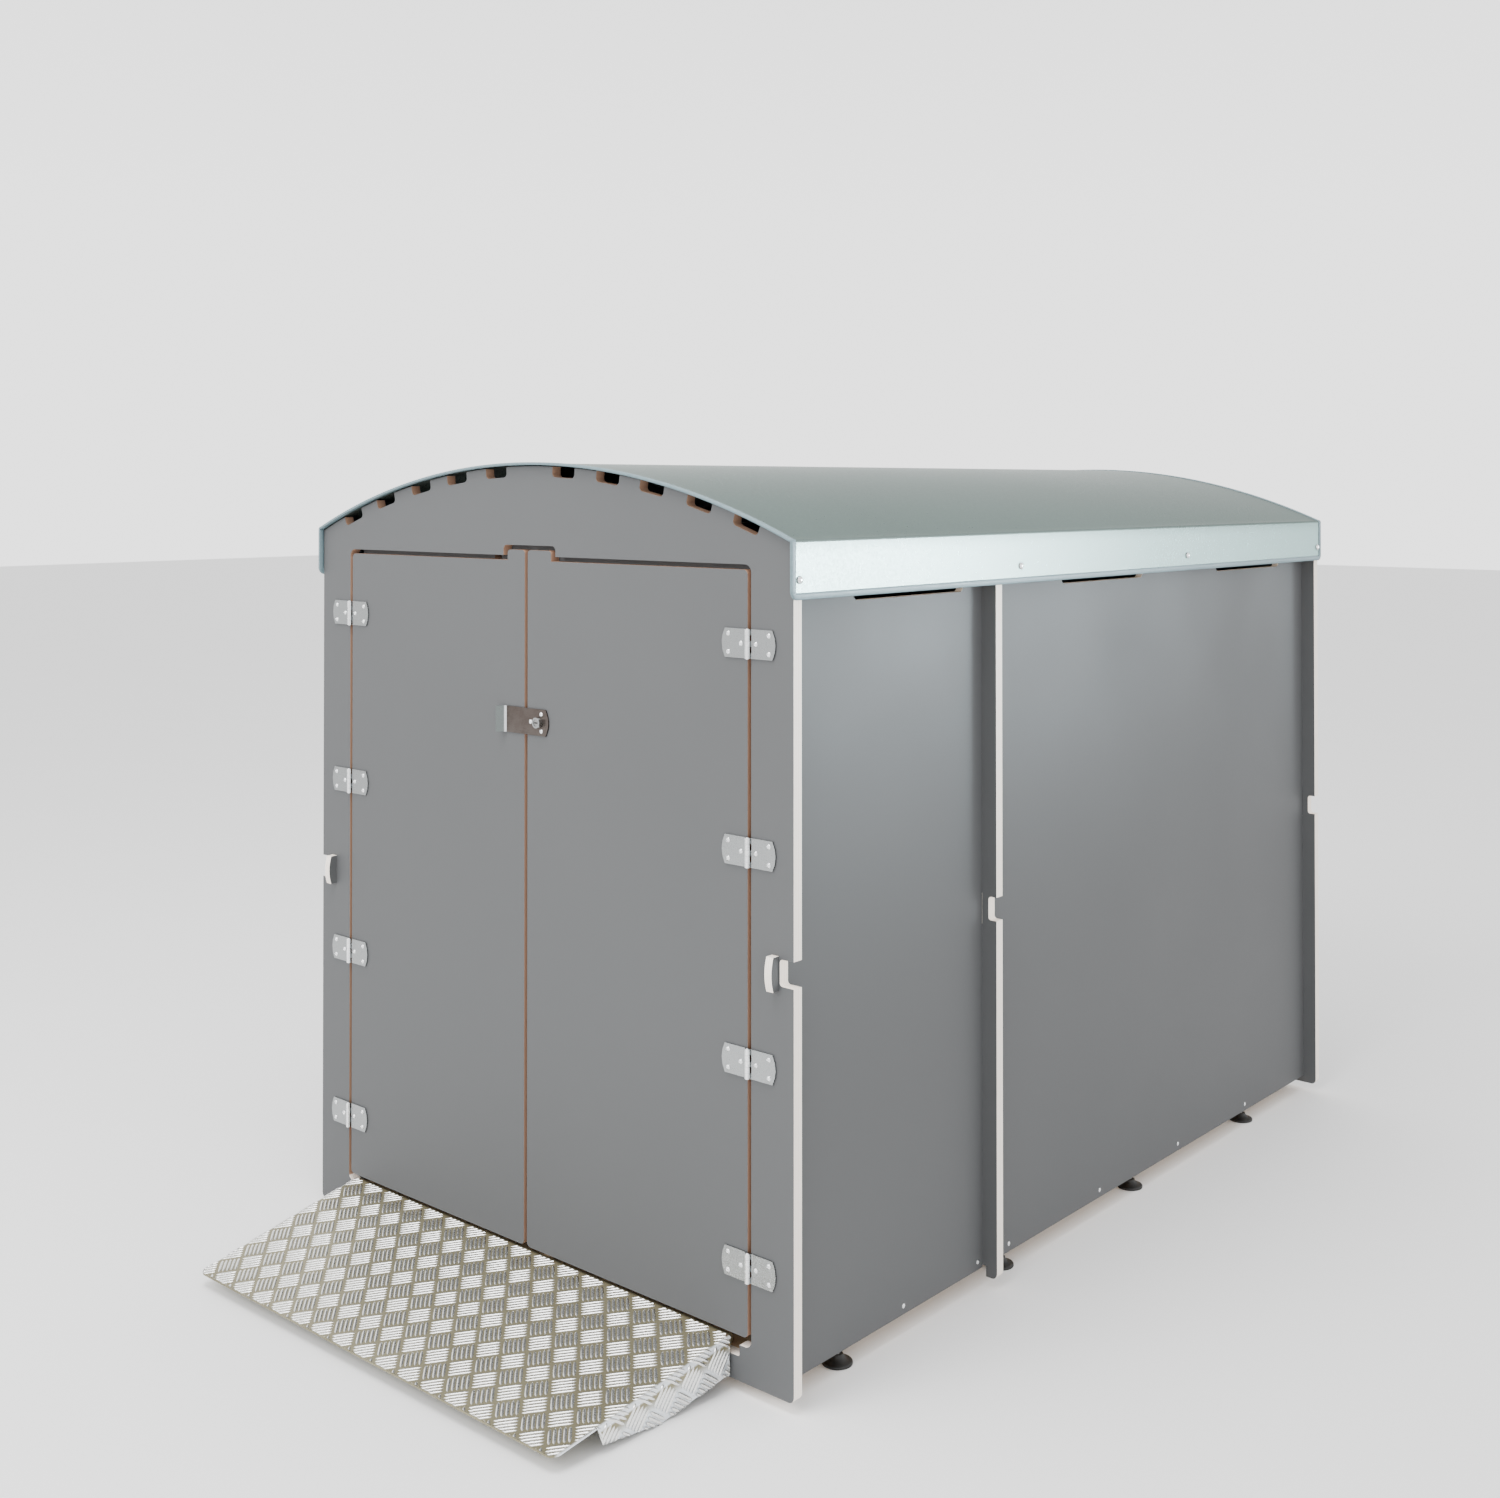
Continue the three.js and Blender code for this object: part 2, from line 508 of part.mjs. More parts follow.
// ---- lock on the right door ---------------------------------------------------------------------
const lockPlate = () => {
  const half = LOCK_HEIGHT / 2;
  const shape = new THREE.Shape();
  shape.moveTo(LOCK_LEFT_X, LOCK_Z - half);
  shape.lineTo(LOCK_RIGHT_X - 8, LOCK_Z - half);
  shape.quadraticCurveTo(LOCK_RIGHT_X + 8, LOCK_Z, LOCK_RIGHT_X - 8, LOCK_Z + half);
  shape.lineTo(LOCK_LEFT_X, LOCK_Z + half);
  shape.closePath();
  const flat = frontal(shape, -GAP - LOCK_PLATE, LOCK_PLATE, 8);
  const lip = frontal(roundedRect(-LOCK_LIP, 0, -half, half, 0.5), -LOCK_PLATE, LOCK_PLATE, 1)
    .rotate([0, 0, 45]).translate([LOCK_LEFT_X + 1, -GAP, LOCK_Z]);
  return flat.add(lip).subtract(lockBore);
};
addPart('lock_plate', lockPlate(), steel);

const plugBore = LOCK_PLUG_RADIUS + GAP;
const lockSleeve = turnedY([
  [plugBore, LOCK_CYLINDER_FRONT_Y],
  [LOCK_CYLINDER_RADIUS, LOCK_CYLINDER_FRONT_Y],
  [LOCK_CYLINDER_RADIUS, PLY + 2],
  [plugBore, PLY + 2],
  [plugBore, LOCK_CYLINDER_FRONT_Y],
], 24);
addPart('lock_cylinder', lockSleeve.translate([LOCK_CYLINDER_X, 0, LOCK_Z]), zinc);

const lockPlug = () => {
  const back = PLY + 3;
  const barrel = turnedY(rod(LOCK_PLUG_RADIUS, LOCK_CYLINDER_FRONT_Y + 1, back + CAM_THICKNESS), 20);
  const keyway = block(-4.5, 4.5, LOCK_CYLINDER_FRONT_Y, LOCK_CYLINDER_FRONT_Y + 9, -1.2, 1.2);
  const camShape = roundedRect(-CAM_WIDTH / 2, CAM_WIDTH / 2, -CAM_WIDTH / 2, CAM_LENGTH, 5);
  const cam = frontal(camShape, back, CAM_THICKNESS, 3);
  return barrel.add(cam).subtract(keyway);
};
addPart('lock_plug', lockPlug().translate([LOCK_CYLINDER_X, 0, LOCK_Z]), steel);

// ---- shoot bolt inside the left door ------------------------------------------------------------
const boltY = PLY + GAP + BOLT_PLATE + SHOOT_BOLT_RADIUS + GAP;
const boltRod = (radius, z0, z1) => turnedZ(rod(radius, z0, z1), 14).translate([SHOOT_BOLT_X, boltY, 0]);
const boltCase = () => {
  const back = PLY + GAP;
  const upright = (half, depth, z0, z1) =>
    block(SHOOT_BOLT_X - half, SHOOT_BOLT_X + half, back, back + depth, z0, z1);
  let solid = upright(BOLT_PLATE_HALF, BOLT_PLATE, BOLT_PLATE_Z, BOLT_PLATE_Z + BOLT_PLATE_HEIGHT);
  for (const z of BOLT_GUIDE_Z) {
    solid = solid.add(upright(BOLT_GUIDE_HALF, boltY + 8 - back, z, z + BOLT_GUIDE_HEIGHT));
  }
  return solid.subtract(boltRod(SHOOT_BOLT_RADIUS + GAP, BOLT_PLATE_Z - 10, DOOR_TOP_Z));
};
addPart('shoot_bolt_case', boltCase(), zinc);
const boltKnob = turnedY([[0, 0], [3.5, 0], [3.5, 12], [5.5, 13], [5.5, 22], [0, 22]], 12)
  .translate([SHOOT_BOLT_X, boltY, BOLT_KNOB_Z]);
addPart('shoot_bolt', boltRod(SHOOT_BOLT_RADIUS, SHOOT_BOLT_BOTTOM_Z, SHOOT_BOLT_TOP_Z).add(boltKnob), steel);

// ---- levelling feet -----------------------------------------------------------------------------
// A pad with a bell-shaped back, a threaded stem and the nut under the floor.
const padProfile = [[0, 0], [PAD_RADIUS - 1, 0], [PAD_RADIUS, 1], [PAD_RADIUS, 4], [20, 8], [11, 14]];
const stemProfile = [[9, 18], [STEM_RADIUS, 18], [STEM_RADIUS, 30], [8, 30], [8, 37], [STEM_RADIUS, 37]];
const stemEnd = [[STEM_RADIUS, FLOOR_Z + 14], [0, FLOOR_Z + 14]];
const foot = turnedZ([...padProfile, ...stemProfile, ...stemEnd], 10);
FOOT_Y.forEach((y, i) => {
  for (const [side, place] of sides) {
    addPart(`foot_${side}_${i + 1}`, place(foot.translate([FOOT_X, y, 0])), blackPlastic);
  }
});

// ---- ramp ---------------------------------------------------------------------------------------
// The tread plate is drawn with its tip at y = 0 and its upper face at z = 0, then sloped. Its sides are
// folded down, and its upper edge is rolled under so that it hooks into the notch in the sill.
const rampChannel = () => {
  const half = RAMP_WIDTH / 2;
  const inner = RAMP_BEND - RAMP_SHEET;
  const raw = -RAMP_FLANGE_DEEP - 10;
  const shape = new THREE.Shape();
  shape.moveTo(half, raw);
  shape.absarc(half - RAMP_BEND, -RAMP_BEND, RAMP_BEND, 0, 0.5 * Math.PI, false);
  shape.absarc(-half + RAMP_BEND, -RAMP_BEND, RAMP_BEND, 0.5 * Math.PI, Math.PI, false);
  shape.lineTo(-half, raw);
  shape.lineTo(-half + RAMP_SHEET, raw);
  shape.absarc(-half + RAMP_BEND, -RAMP_BEND, inner, Math.PI, 0.5 * Math.PI, true);
  shape.absarc(half - RAMP_BEND, -RAMP_BEND, inner, 0.5 * Math.PI, 0, true);
  shape.lineTo(half - RAMP_SHEET, raw);
  shape.closePath();
  return shape;
};

const rampSide = (length) => {
  const flangeEnd = length - (RAMP_FLANGE_END + RAMP_HOOK_Y) / Math.cos(RAMP_PITCH);
  const shape = new THREE.Shape();
  shape.moveTo(0, 10);
  shape.lineTo(0, -RAMP_SHEET);
  shape.lineTo(RAMP_FLANGE_START, -RAMP_SHEET);
  shape.lineTo(RAMP_FLANGE_START + 4, -RAMP_FLANGE_FRONT + 6);
  shape.quadraticCurveTo(RAMP_FLANGE_START + 5, -RAMP_FLANGE_FRONT,
    RAMP_FLANGE_START + 12, -RAMP_FLANGE_FRONT - 2);
  shape.lineTo(RAMP_FLANGE_DEEP_AT, -RAMP_FLANGE_DEEP);
  shape.lineTo(flangeEnd - RAMP_FLANGE_DEEP * RAMP_SLOPE, -RAMP_FLANGE_DEEP);
  shape.lineTo(flangeEnd, -RAMP_SHEET);
  shape.lineTo(length, -RAMP_SHEET);
  shape.lineTo(length, 10);
  shape.closePath();
  return shape;
};

const rampPlan = (length) => {
  const half = RAMP_WIDTH / 2;
  const inset = half - RAMP_TIP_INSET;
  const r = RAMP_TIP_RADIUS;
  const shape = new THREE.Shape();
  shape.absarc(-inset + r, r, r, Math.PI, 1.5 * Math.PI, false);
  shape.absarc(inset - r, r, r, -0.5 * Math.PI, 0, false);
  shape.lineTo(inset, RAMP_FLANGE_START);
  shape.lineTo(half + 1, RAMP_FLANGE_START);
  shape.lineTo(half + 1, length + 1);
  shape.lineTo(-half - 1, length + 1);
  shape.lineTo(-half - 1, RAMP_FLANGE_START);
  shape.lineTo(-inset, RAMP_FLANGE_START);
  shape.closePath();
  return shape;
};

const rampHook = () => {
  const centreY = RAMP_HOOK_Y + RAMP_HOOK_RADIUS * Math.sin(RAMP_PITCH);
  const centreZ = RAMP_TOP_Z + RAMP_HOOK_Y * RAMP_SLOPE - RAMP_HOOK_RADIUS * Math.cos(RAMP_PITCH);
  const start = Math.PI / 2 + RAMP_PITCH + 0.02;
  const shape = new THREE.Shape();
  shape.absarc(centreY, centreZ, RAMP_HOOK_RADIUS, start, -0.5 * Math.PI, true);
  shape.absarc(centreY, centreZ, RAMP_HOOK_RADIUS - RAMP_SHEET, -0.5 * Math.PI, start, false);
  shape.closePath();
  return lateral(shape, -RAMP_HOOK_HALF, 2 * RAMP_HOOK_HALF, 10);
};

const rampPlate = () => {
  const length = (RAMP_RUN + RAMP_HOOK_Y) / Math.cos(RAMP_PITCH);
  return frontal(rampChannel(), 0, length)
    .intersect(lateral(rampSide(length), -RAMP_WIDTH, 2 * RAMP_WIDTH))
    .intersect(level(rampPlan(length), -80, 100))
    .warp((vertex) => {
      vertex[0] *= 1 + (RAMP_TAPER * vertex[1]) / length;
    })
    .rotate([THREE.MathUtils.radToDeg(RAMP_PITCH), 0, 0])
    .translate([0, -RAMP_RUN, RAMP_TOP_Z - RAMP_RUN * RAMP_SLOPE]);
};
addPart('ramp', rampPlate().add(rampHook()).translate([RAMP_CENTRE_X, 0, 0]), aluminium);

// The frame's origin is under the middle of the whole object.
const extent = new THREE.Box3().setFromObject(group);
group.position.y = -(extent.min.y + extent.max.y) / 2;

export default group;
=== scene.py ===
"""The looks of a lockable plywood shelter with a curved metal roof, double doors and a tread-plate ramp."""
import math
import random

import bmesh
import bpy
from mathutils import Matrix, Vector


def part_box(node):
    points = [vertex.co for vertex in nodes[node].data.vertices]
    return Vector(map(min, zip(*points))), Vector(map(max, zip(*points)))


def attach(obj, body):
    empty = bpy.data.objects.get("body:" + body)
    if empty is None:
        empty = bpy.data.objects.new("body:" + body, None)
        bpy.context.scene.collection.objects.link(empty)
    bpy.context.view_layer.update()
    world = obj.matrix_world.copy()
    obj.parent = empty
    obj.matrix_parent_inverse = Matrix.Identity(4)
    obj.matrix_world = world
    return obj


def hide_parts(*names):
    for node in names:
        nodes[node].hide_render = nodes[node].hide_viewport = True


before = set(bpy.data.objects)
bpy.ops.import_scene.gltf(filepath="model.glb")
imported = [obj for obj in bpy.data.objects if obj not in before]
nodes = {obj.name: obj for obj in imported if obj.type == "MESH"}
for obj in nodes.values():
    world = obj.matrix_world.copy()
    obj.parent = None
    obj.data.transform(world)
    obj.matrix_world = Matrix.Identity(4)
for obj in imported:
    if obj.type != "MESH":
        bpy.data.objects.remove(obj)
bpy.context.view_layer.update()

random.seed(7)

# ---- places read from the frame ------------------------------------------------------------------
SHEET = 0.0015                      # roof sheet
ply_low, ply_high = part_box("front_portal")
FRONT_Y = ply_low.y
PLY = ply_high.y - ply_low.y
rear_low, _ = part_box("rear_portal")
roof_low, roof_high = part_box("roof_sheet")
ROOF_HALF = roof_high.x
RIDGE_Z = roof_high.z
FASCIA_Z = roof_low.z
EAVE_Z = 1.444
ROOF_RISE = RIDGE_Z - EAVE_Z
ROOF_RADIUS = (ROOF_HALF ** 2 + ROOF_RISE ** 2) / (2 * ROOF_RISE)
ROOF_CENTRE_Z = RIDGE_Z - ROOF_RADIUS
FASCIA_CORNER = 0.014


# ---- node material helpers -----------------------------------------------------------------------
class Shader:
    """A material being built: short ways to add the nodes used below."""

    def __init__(self, name):
        self.material = bpy.data.materials.new(name)
        self.material.use_nodes = True
        self.tree = self.material.node_tree
        self.bsdf = self.tree.nodes["Principled BSDF"]
        self.coords = self.tree.nodes.new("ShaderNodeTexCoord")

    def add(self, kind, **settings):
        node = self.tree.nodes.new(kind)
        for key, value in settings.items():
            setattr(node, key, value)
        return node

    def link(self, out, into):
        self.tree.links.new(out, into)

    def put(self, socket, value):
        if isinstance(value, bpy.types.NodeSocket):
            self.link(value, socket)
        else:
            socket.default_value = value

    def math(self, operation, a, b=0.0, c=0.0):
        node = self.add("ShaderNodeMath", operation=operation)
        for socket, value in zip(node.inputs, (a, b, c)):
            self.put(socket, value)
        return node.outputs[0]

    def mix(self, factor, a, b):
        node = self.add("ShaderNodeMix", data_type="RGBA")
        self.put(node.inputs[0], factor)
        self.put(node.inputs[6], a)
        self.put(node.inputs[7], b)
        return node.outputs[2]

    def split(self, vector):
        node = self.add("ShaderNodeSeparateXYZ")
        self.link(vector, node.inputs[0])
        return node.outputs

    def scaled(self, scale):
        node = self.add("ShaderNodeMapping")
        node.inputs["Scale"].default_value = scale
        self.link(self.coords.outputs["Object"], node.inputs["Vector"])
        return node.outputs[0]

    def noise(self, scale, detail=4.0, stretch=(1, 1, 1), roughness=0.5):
        node = self.add("ShaderNodeTexNoise")
        node.inputs["Scale"].default_value = scale
        node.inputs["Detail"].default_value = detail
        node.inputs["Roughness"].default_value = roughness
        self.link(self.scaled(stretch), node.inputs["Vector"])
        return node.outputs[0]

    def spread(self, value, low, high, to_low=0.0, to_high=1.0):
        node = self.add("ShaderNodeMapRange")
        self.put(node.inputs[0], value)
        for socket, number in zip(list(node.inputs)[1:5], (low, high, to_low, to_high)):
            socket.default_value = number
        return node.outputs[0]

    def bump(self, height, distance, strength=1.0):
        node = self.add("ShaderNodeBump")
        node.inputs["Distance"].default_value = distance
        node.inputs["Strength"].default_value = strength
        self.link(height, node.inputs["Height"])
        self.link(node.outputs[0], self.bsdf.inputs["Normal"])
        return node

    def surface(self, color=None, roughness=None, metallic=None, **plain):
        for name, value in (("Base Color", color), ("Roughness", roughness), ("Metallic", metallic)):
            if value is not None:
                self.put(self.bsdf.inputs[name], value)
        for name, value in plain.items():
            self.bsdf.inputs[name.replace("_", " ")].default_value = value


PLY_BLEACHED = (0.98, 0.965, 0.94, 1)
FILM = (0.085, 0.0875, 0.090, 1)
FILM_WORN = (0.092, 0.0945, 0.097, 1)
PLY_CREAM = (0.92, 0.83, 0.70, 1)
PLY_TAN = (0.68, 0.47, 0.30, 1)
PLY_GLUE = (0.25, 0.135, 0.07, 1)
# painted shade: the brown given to the cut edges inside the door seams
PLY_SEAM_SHADE = (0.255, 0.125, 0.065, 1)
SEAM_SHADE_WITHIN = 0.59                # painted shade: cut edges nearer the middle than this are darkened brown, down to just under the doors
SEAM_SHADE_ABOVE = 0.09                 # down to just under the doors


def film_ply(name, thickness_axis, thickness, origin, plies):
    """Film-faced plywood: grey film on the two faces, cut layers on every edge.

    thickness_axis is 0 for sheets that face along X and 1 for those that face along Y.
    """
    s = Shader(name)
    normal = s.split(s.coords.outputs["Normal"])[thickness_axis]
    facing = s.math("ABSOLUTE", normal)
    is_face = s.spread(facing, 0.55, 0.72)
    depth = s.math("SUBTRACT", s.split(s.coords.outputs["Object"])[thickness_axis], origin)
    # a sheet on the far side of the object has its layers counted from the same plane
    layer = s.math("FRACT", s.math("MULTIPLY", s.math("ABSOLUTE", depth), plies / thickness))
    number = s.math("FLOOR", s.math("MULTIPLY", s.math("ABSOLUTE", depth), plies / thickness))
    odd = s.math("MODULO", number, 2.0)
    wood = s.mix(odd, PLY_CREAM, PLY_TAN)
    grain = s.noise(18, 6, (1, 1, 1), 0.6)
    wood = s.mix(s.math("MULTIPLY", s.spread(grain, 0.35, 0.7), 0.35), wood, PLY_TAN)
    glue = s.spread(s.math("ABSOLUTE", s.math("SUBTRACT", layer, 0.5)), 0.44, 0.49)
    wood = s.mix(s.math("MULTIPLY", glue, 0.55), wood, PLY_GLUE)
    # painted shade: cut edges near the middle and above the sill are mixed towards brown for the shade in the
    # door seams
    across = s.math("ABSOLUTE", s.split(s.coords.outputs["Object"])[0])
    above_sill = s.math("GREATER_THAN", s.split(s.coords.outputs["Object"])[2], SEAM_SHADE_ABOVE)
    seam_shade = s.math("MULTIPLY", s.math("LESS_THAN", across, SEAM_SHADE_WITHIN), above_sill)
    wood = s.mix(0.55, wood, PLY_BLEACHED)
    wood = s.mix(s.math("MULTIPLY", seam_shade, 0.90), wood, PLY_SEAM_SHADE)
    cloud = s.noise(3.1, 5)
    fine = s.noise(260, 3)
    film = s.mix(s.spread(cloud, 0.35, 0.72, 0.0, 0.6), FILM, FILM_WORN)
    s.surface(
        color=s.mix(is_face, wood, film),
        roughness=s.mix(is_face, (0.78, 0.78, 0.78, 1),
                        s.spread(s.math("ADD", s.math("MULTIPLY", fine, 0.3), cloud), 0.3, 0.9, 0.44, 0.60)),
        Specular_IOR_Level=0.22,
    )
    s.bump(s.math("ADD", s.math("MULTIPLY", fine, 0.35), s.math("MULTIPLY", grain, 0.3)), 0.0004, 0.25)
    return s.material


def bare_wood():
    s = Shader("bare_wood")
    grain = s.noise(9, 8, (4, 0.35, 4), 0.65)
    rings = s.noise(3, 3, (6, 0.2, 6))
    color = s.mix(s.spread(grain, 0.3, 0.72), (0.70, 0.50, 0.30, 1), (0.48, 0.30, 0.16, 1))
    s.surface(color=s.mix(s.math("MULTIPLY", rings, 0.4), color, (0.80, 0.63, 0.42, 1)), roughness=0.72)
    s.bump(grain, 0.0006, 0.4)
    return s.material


def coated_roof():
    s = Shader("coated_roof")
    cloud = s.noise(1.7, 5)
    flecks = s.noise(190, 3)
    streaks = s.noise(2.2, 6, (1, 14, 1), 0.6)
    color = s.mix(s.spread(cloud, 0.3, 0.75), (0.150, 0.190, 0.180, 1), (0.175, 0.218, 0.207, 1))
    color = s.mix(s.spread(streaks, 0.56, 0.8, 0.0, 0.22), color, (0.125, 0.155, 0.146, 1))
    s.surface(
        color=color,
        roughness=s.spread(s.math("ADD", flecks, s.math("MULTIPLY", cloud, 0.6)), 0.4, 1.2, 0.24, 0.36),
        metallic=0.75,
        Specular_IOR_Level=0.2,
        Specular_Tint=(0.30, 0.335, 0.32, 1),
    )
    s.bump(flecks, 0.0002, 0.12)
    return s.material


def ribbed_trim():
    s = Shader("ribbed_trim")
    fine = s.noise(140, 4)
    s.surface(
        color=s.mix(fine, (0.090, 0.145, 0.165, 1), (0.170, 0.240, 0.265, 1)),
        roughness=s.spread(fine, 0.3, 0.7, 0.38, 0.55),
    )
    s.bump(fine, 0.0003, 0.3)
    return s.material


def plated_steel(name, light, dark, roughness, brushed=(1, 1, 1)):
    s = Shader(name)
    spangle = s.add("ShaderNodeTexVoronoi")
    spangle.inputs["Scale"].default_value = 140
    s.link(s.scaled((1, 1, 1)), spangle.inputs["Vector"])
    brush = s.noise(420, 4, brushed)
    color = s.mix(s.math("MULTIPLY", spangle.outputs["Color"], 0.45), light, dark)
    s.surface(
        color=color,
        roughness=s.spread(brush, 0.3, 0.7, roughness - 0.07, roughness + 0.10),
        metallic=1.0,
    )
    s.bump(brush, 0.00015, 0.25)
    return s.material


def hinge_zinc(knuckle_y):
    """Zinc plate with a painted highlight on its knuckles, which stand out past `knuckle_y`."""
    s = Shader("hinge_zinc")
    brush = s.noise(420, 4)
    color = s.mix(brush, (0.38, 0.39, 0.39, 1), (0.27, 0.285, 0.29, 1))
    # painted highlight: the knuckles standing out past knuckle_y are mixed towards near white
    knuckle_highlight = s.spread(s.split(s.coords.outputs["Object"])[1], knuckle_y - 0.0008, knuckle_y, 1.0, 0.0)
    color = s.mix(knuckle_highlight, color, (0.86, 0.87, 0.88, 1))
    s.surface(color=color, roughness=s.spread(brush, 0.3, 0.7, 0.19, 0.36), metallic=1.0)
    s.bump(brush, 0.00015, 0.25)
    return s.material


def dull_stainless(fold_x):
    """A brushed plate painted in a brownish reflection, with a painted greenish reflection on its bent lip
    and a painted highlight along its fold.
    """
    s = Shader("dull_stainless")
    brush = s.noise(300, 5, (0.12, 1, 5), 0.6)
    cloud = s.noise(34, 3)
    # painted reflection: the dark brownish base colour stands in for a dark room reflected in the plate
    color = s.mix(s.spread(cloud, 0.35, 0.7), (0.088, 0.071, 0.063, 1), (0.114, 0.098, 0.089, 1))
    # painted reflection: the lip past the fold is given a lighter greenish grey for the way it faces
    lip_reflection = s.spread(s.split(s.coords.outputs["Object"])[0], fold_x - 0.0006, fold_x + 0.0006, 1.0, 0.0)
    color = s.mix(lip_reflection, color, (0.150, 0.168, 0.165, 1))
    # painted highlight: a bright band along the fold
    from_fold = s.math("ABSOLUTE", s.math("SUBTRACT", s.split(s.coords.outputs["Object"])[0], fold_x))
    color = s.mix(s.spread(from_fold, 0.0010, 0.0024, 0.85, 0.0), color, (0.72, 0.74, 0.76, 1))
    s.surface(color=color, roughness=s.spread(brush, 0.3, 0.7, 0.24, 0.38), metallic=1.0)
    s.bump(brush, 0.00015, 0.25)
    return s.material


def tread_aluminium(centre_x, tip_y, half, widening):
    """Stained mill-finish plate with a painted highlight along its two folds."""
    s = Shader("tread_aluminium")
    brush = s.noise(60, 5, (1, 7, 1), 0.65)
    stain = s.noise(5, 5)
    color = s.mix(s.spread(stain, 0.35, 0.75), (0.27, 0.245, 0.155, 1), (0.19, 0.170, 0.105, 1))
    x, y, _ = s.split(s.coords.outputs["Object"])
    fold_at = s.math("MULTIPLY_ADD", s.math("SUBTRACT", y, tip_y), widening, half)
    past_fold = s.math("SUBTRACT", s.math("ABSOLUTE", s.math("SUBTRACT", x, centre_x)), fold_at)
    # painted highlight: a pale blue-white band just inside each fold
    highlight_onto_fold = s.spread(past_fold, -0.010, -0.006)
    highlight_off_fold = s.spread(past_fold, -0.0015, -0.0004, 1.0, 0.0)
    color = s.mix(s.math("MULTIPLY", highlight_onto_fold, highlight_off_fold), color, (0.80, 0.84, 0.88, 1))
    s.surface(
        color=color,
        roughness=s.spread(s.math("ADD", brush, s.math("MULTIPLY", stain, 0.5)), 0.5, 1.0, 0.34, 0.50),
        metallic=0.6,
    )
    s.bump(brush, 0.0003, 0.35)
    return s.material


def bar_aluminium():
    s = Shader("bar_aluminium")
    brush = s.noise(300, 3)
    s.surface(
        color=s.mix(brush, (0.84, 0.84, 0.83, 1), (0.72, 0.72, 0.70, 1)),
        roughness=s.spread(brush, 0.3, 0.7, 0.20, 0.32),
        metallic=1.0,
    )
    s.bump(brush, 0.0002, 0.2)
    return s.material


def moulded_black():
    s = Shader("moulded_black")
    grain = s.noise(700, 3)
    dust = s.noise(22, 5)
    s.surface(
        color=s.mix(s.spread(dust, 0.45, 0.8, 0.0, 0.5), (0.004, 0.004, 0.004, 1), (0.014, 0.013, 0.012, 1)),
        roughness=s.spread(grain, 0.3, 0.7, 0.45, 0.62),
    )
    s.bump(grain, 0.0003, 0.4)
    return s.material


def floor_material():
    s = Shader("studio_floor")
    soft = s.noise(2.0, 3)
    s.surface(color=s.mix(soft, (0.93, 0.93, 0.93, 1), (0.95, 0.95, 0.95, 1)), roughness=0.85)
    return s.material


side_low, side_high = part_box("side_panel_rear_right")
PLY_PLIES = 9
SIDE_PLIES = 7
portal_ply = film_ply("portal_ply", 1, PLY, FRONT_Y, PLY_PLIES)
mid_ply = film_ply("mid_ply", 1, PLY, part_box("mid_portal")[0].y, PLY_PLIES)
rear_ply = film_ply("rear_ply", 1, PLY, rear_low.y, PLY_PLIES)
side_ply_right = film_ply("side_ply_right", 0, side_high.x - side_low.x, side_low.x, SIDE_PLIES)
side_ply_left = film_ply("side_ply_left", 0, side_high.x - side_low.x, -side_high.x, SIDE_PLIES)
wood = bare_wood()
roof_coat = coated_roof()
trim_plastic = ribbed_trim()
zinc = plated_steel("zinc_plate", (0.38, 0.39, 0.39, 1), (0.25, 0.265, 0.27, 1), 0.26)
steel = plated_steel("brushed_steel", (0.34, 0.335, 0.33, 1), (0.22, 0.215, 0.21, 1), 0.24, (0.15, 1, 6))
lock_metal = dull_stainless(-0.0615)
hinge_metal = hinge_zinc(FRONT_Y - 0.0050)
bright = plated_steel("bright_screw", (0.86, 0.87, 0.88, 1), (0.74, 0.75, 0.77, 1), 0.20)
bar_metal = bar_aluminium()
black = moulded_black()


# ---- smooth edges on the pieces that come from the frame -----------------------------------------
def smooth_group():
    """Geometry nodes that shade smoothly across shallow edges and leave the steep ones sharp."""
    tree = bpy.data.node_groups.new("shade_by_angle", "GeometryNodeTree")
    tree.interface.new_socket("Geometry", in_out="INPUT", socket_type="NodeSocketGeometry")
    tree.interface.new_socket("Geometry", in_out="OUTPUT", socket_type="NodeSocketGeometry")
    start = tree.nodes.new("NodeGroupInput")
    end = tree.nodes.new("NodeGroupOutput")
    faces = tree.nodes.new("GeometryNodeSetShadeSmooth")
    edges = tree.nodes.new("GeometryNodeSetShadeSmooth")
    edges.domain = "EDGE"
    angle = tree.nodes.new("GeometryNodeInputMeshEdgeAngle")
    limit = tree.nodes.new("FunctionNodeCompare")
    limit.operation = "LESS_THAN"
    limit.inputs[1].default_value = math.radians(33)
    tree.links.new(start.outputs[0], faces.inputs["Geometry"])
    tree.links.new(faces.outputs[0], edges.inputs["Geometry"])
    tree.links.new(angle.outputs["Unsigned Angle"], limit.inputs[0])
    tree.links.new(limit.outputs[0], edges.inputs["Shade Smooth"])
    tree.links.new(edges.outputs[0], end.inputs[0])
    return tree


shade_by_angle = smooth_group()


def finish_node(name, material, edge):
    """Gives a CAD node its material and a small bevel along its sharp edges."""
    obj = nodes[name]
    obj.data.materials.clear()
    obj.data.materials.append(material)
    bevel = obj.modifiers.new("soft_edges", "BEVEL")
    bevel.width = edge
    bevel.segments = 2
    bevel.limit_method = "ANGLE"
    bevel.angle_limit = math.radians(40)
    bevel.use_clamp_overlap = True
    shading = obj.modifiers.new("shading", "NODES")
    shading.node_group = shade_by_angle


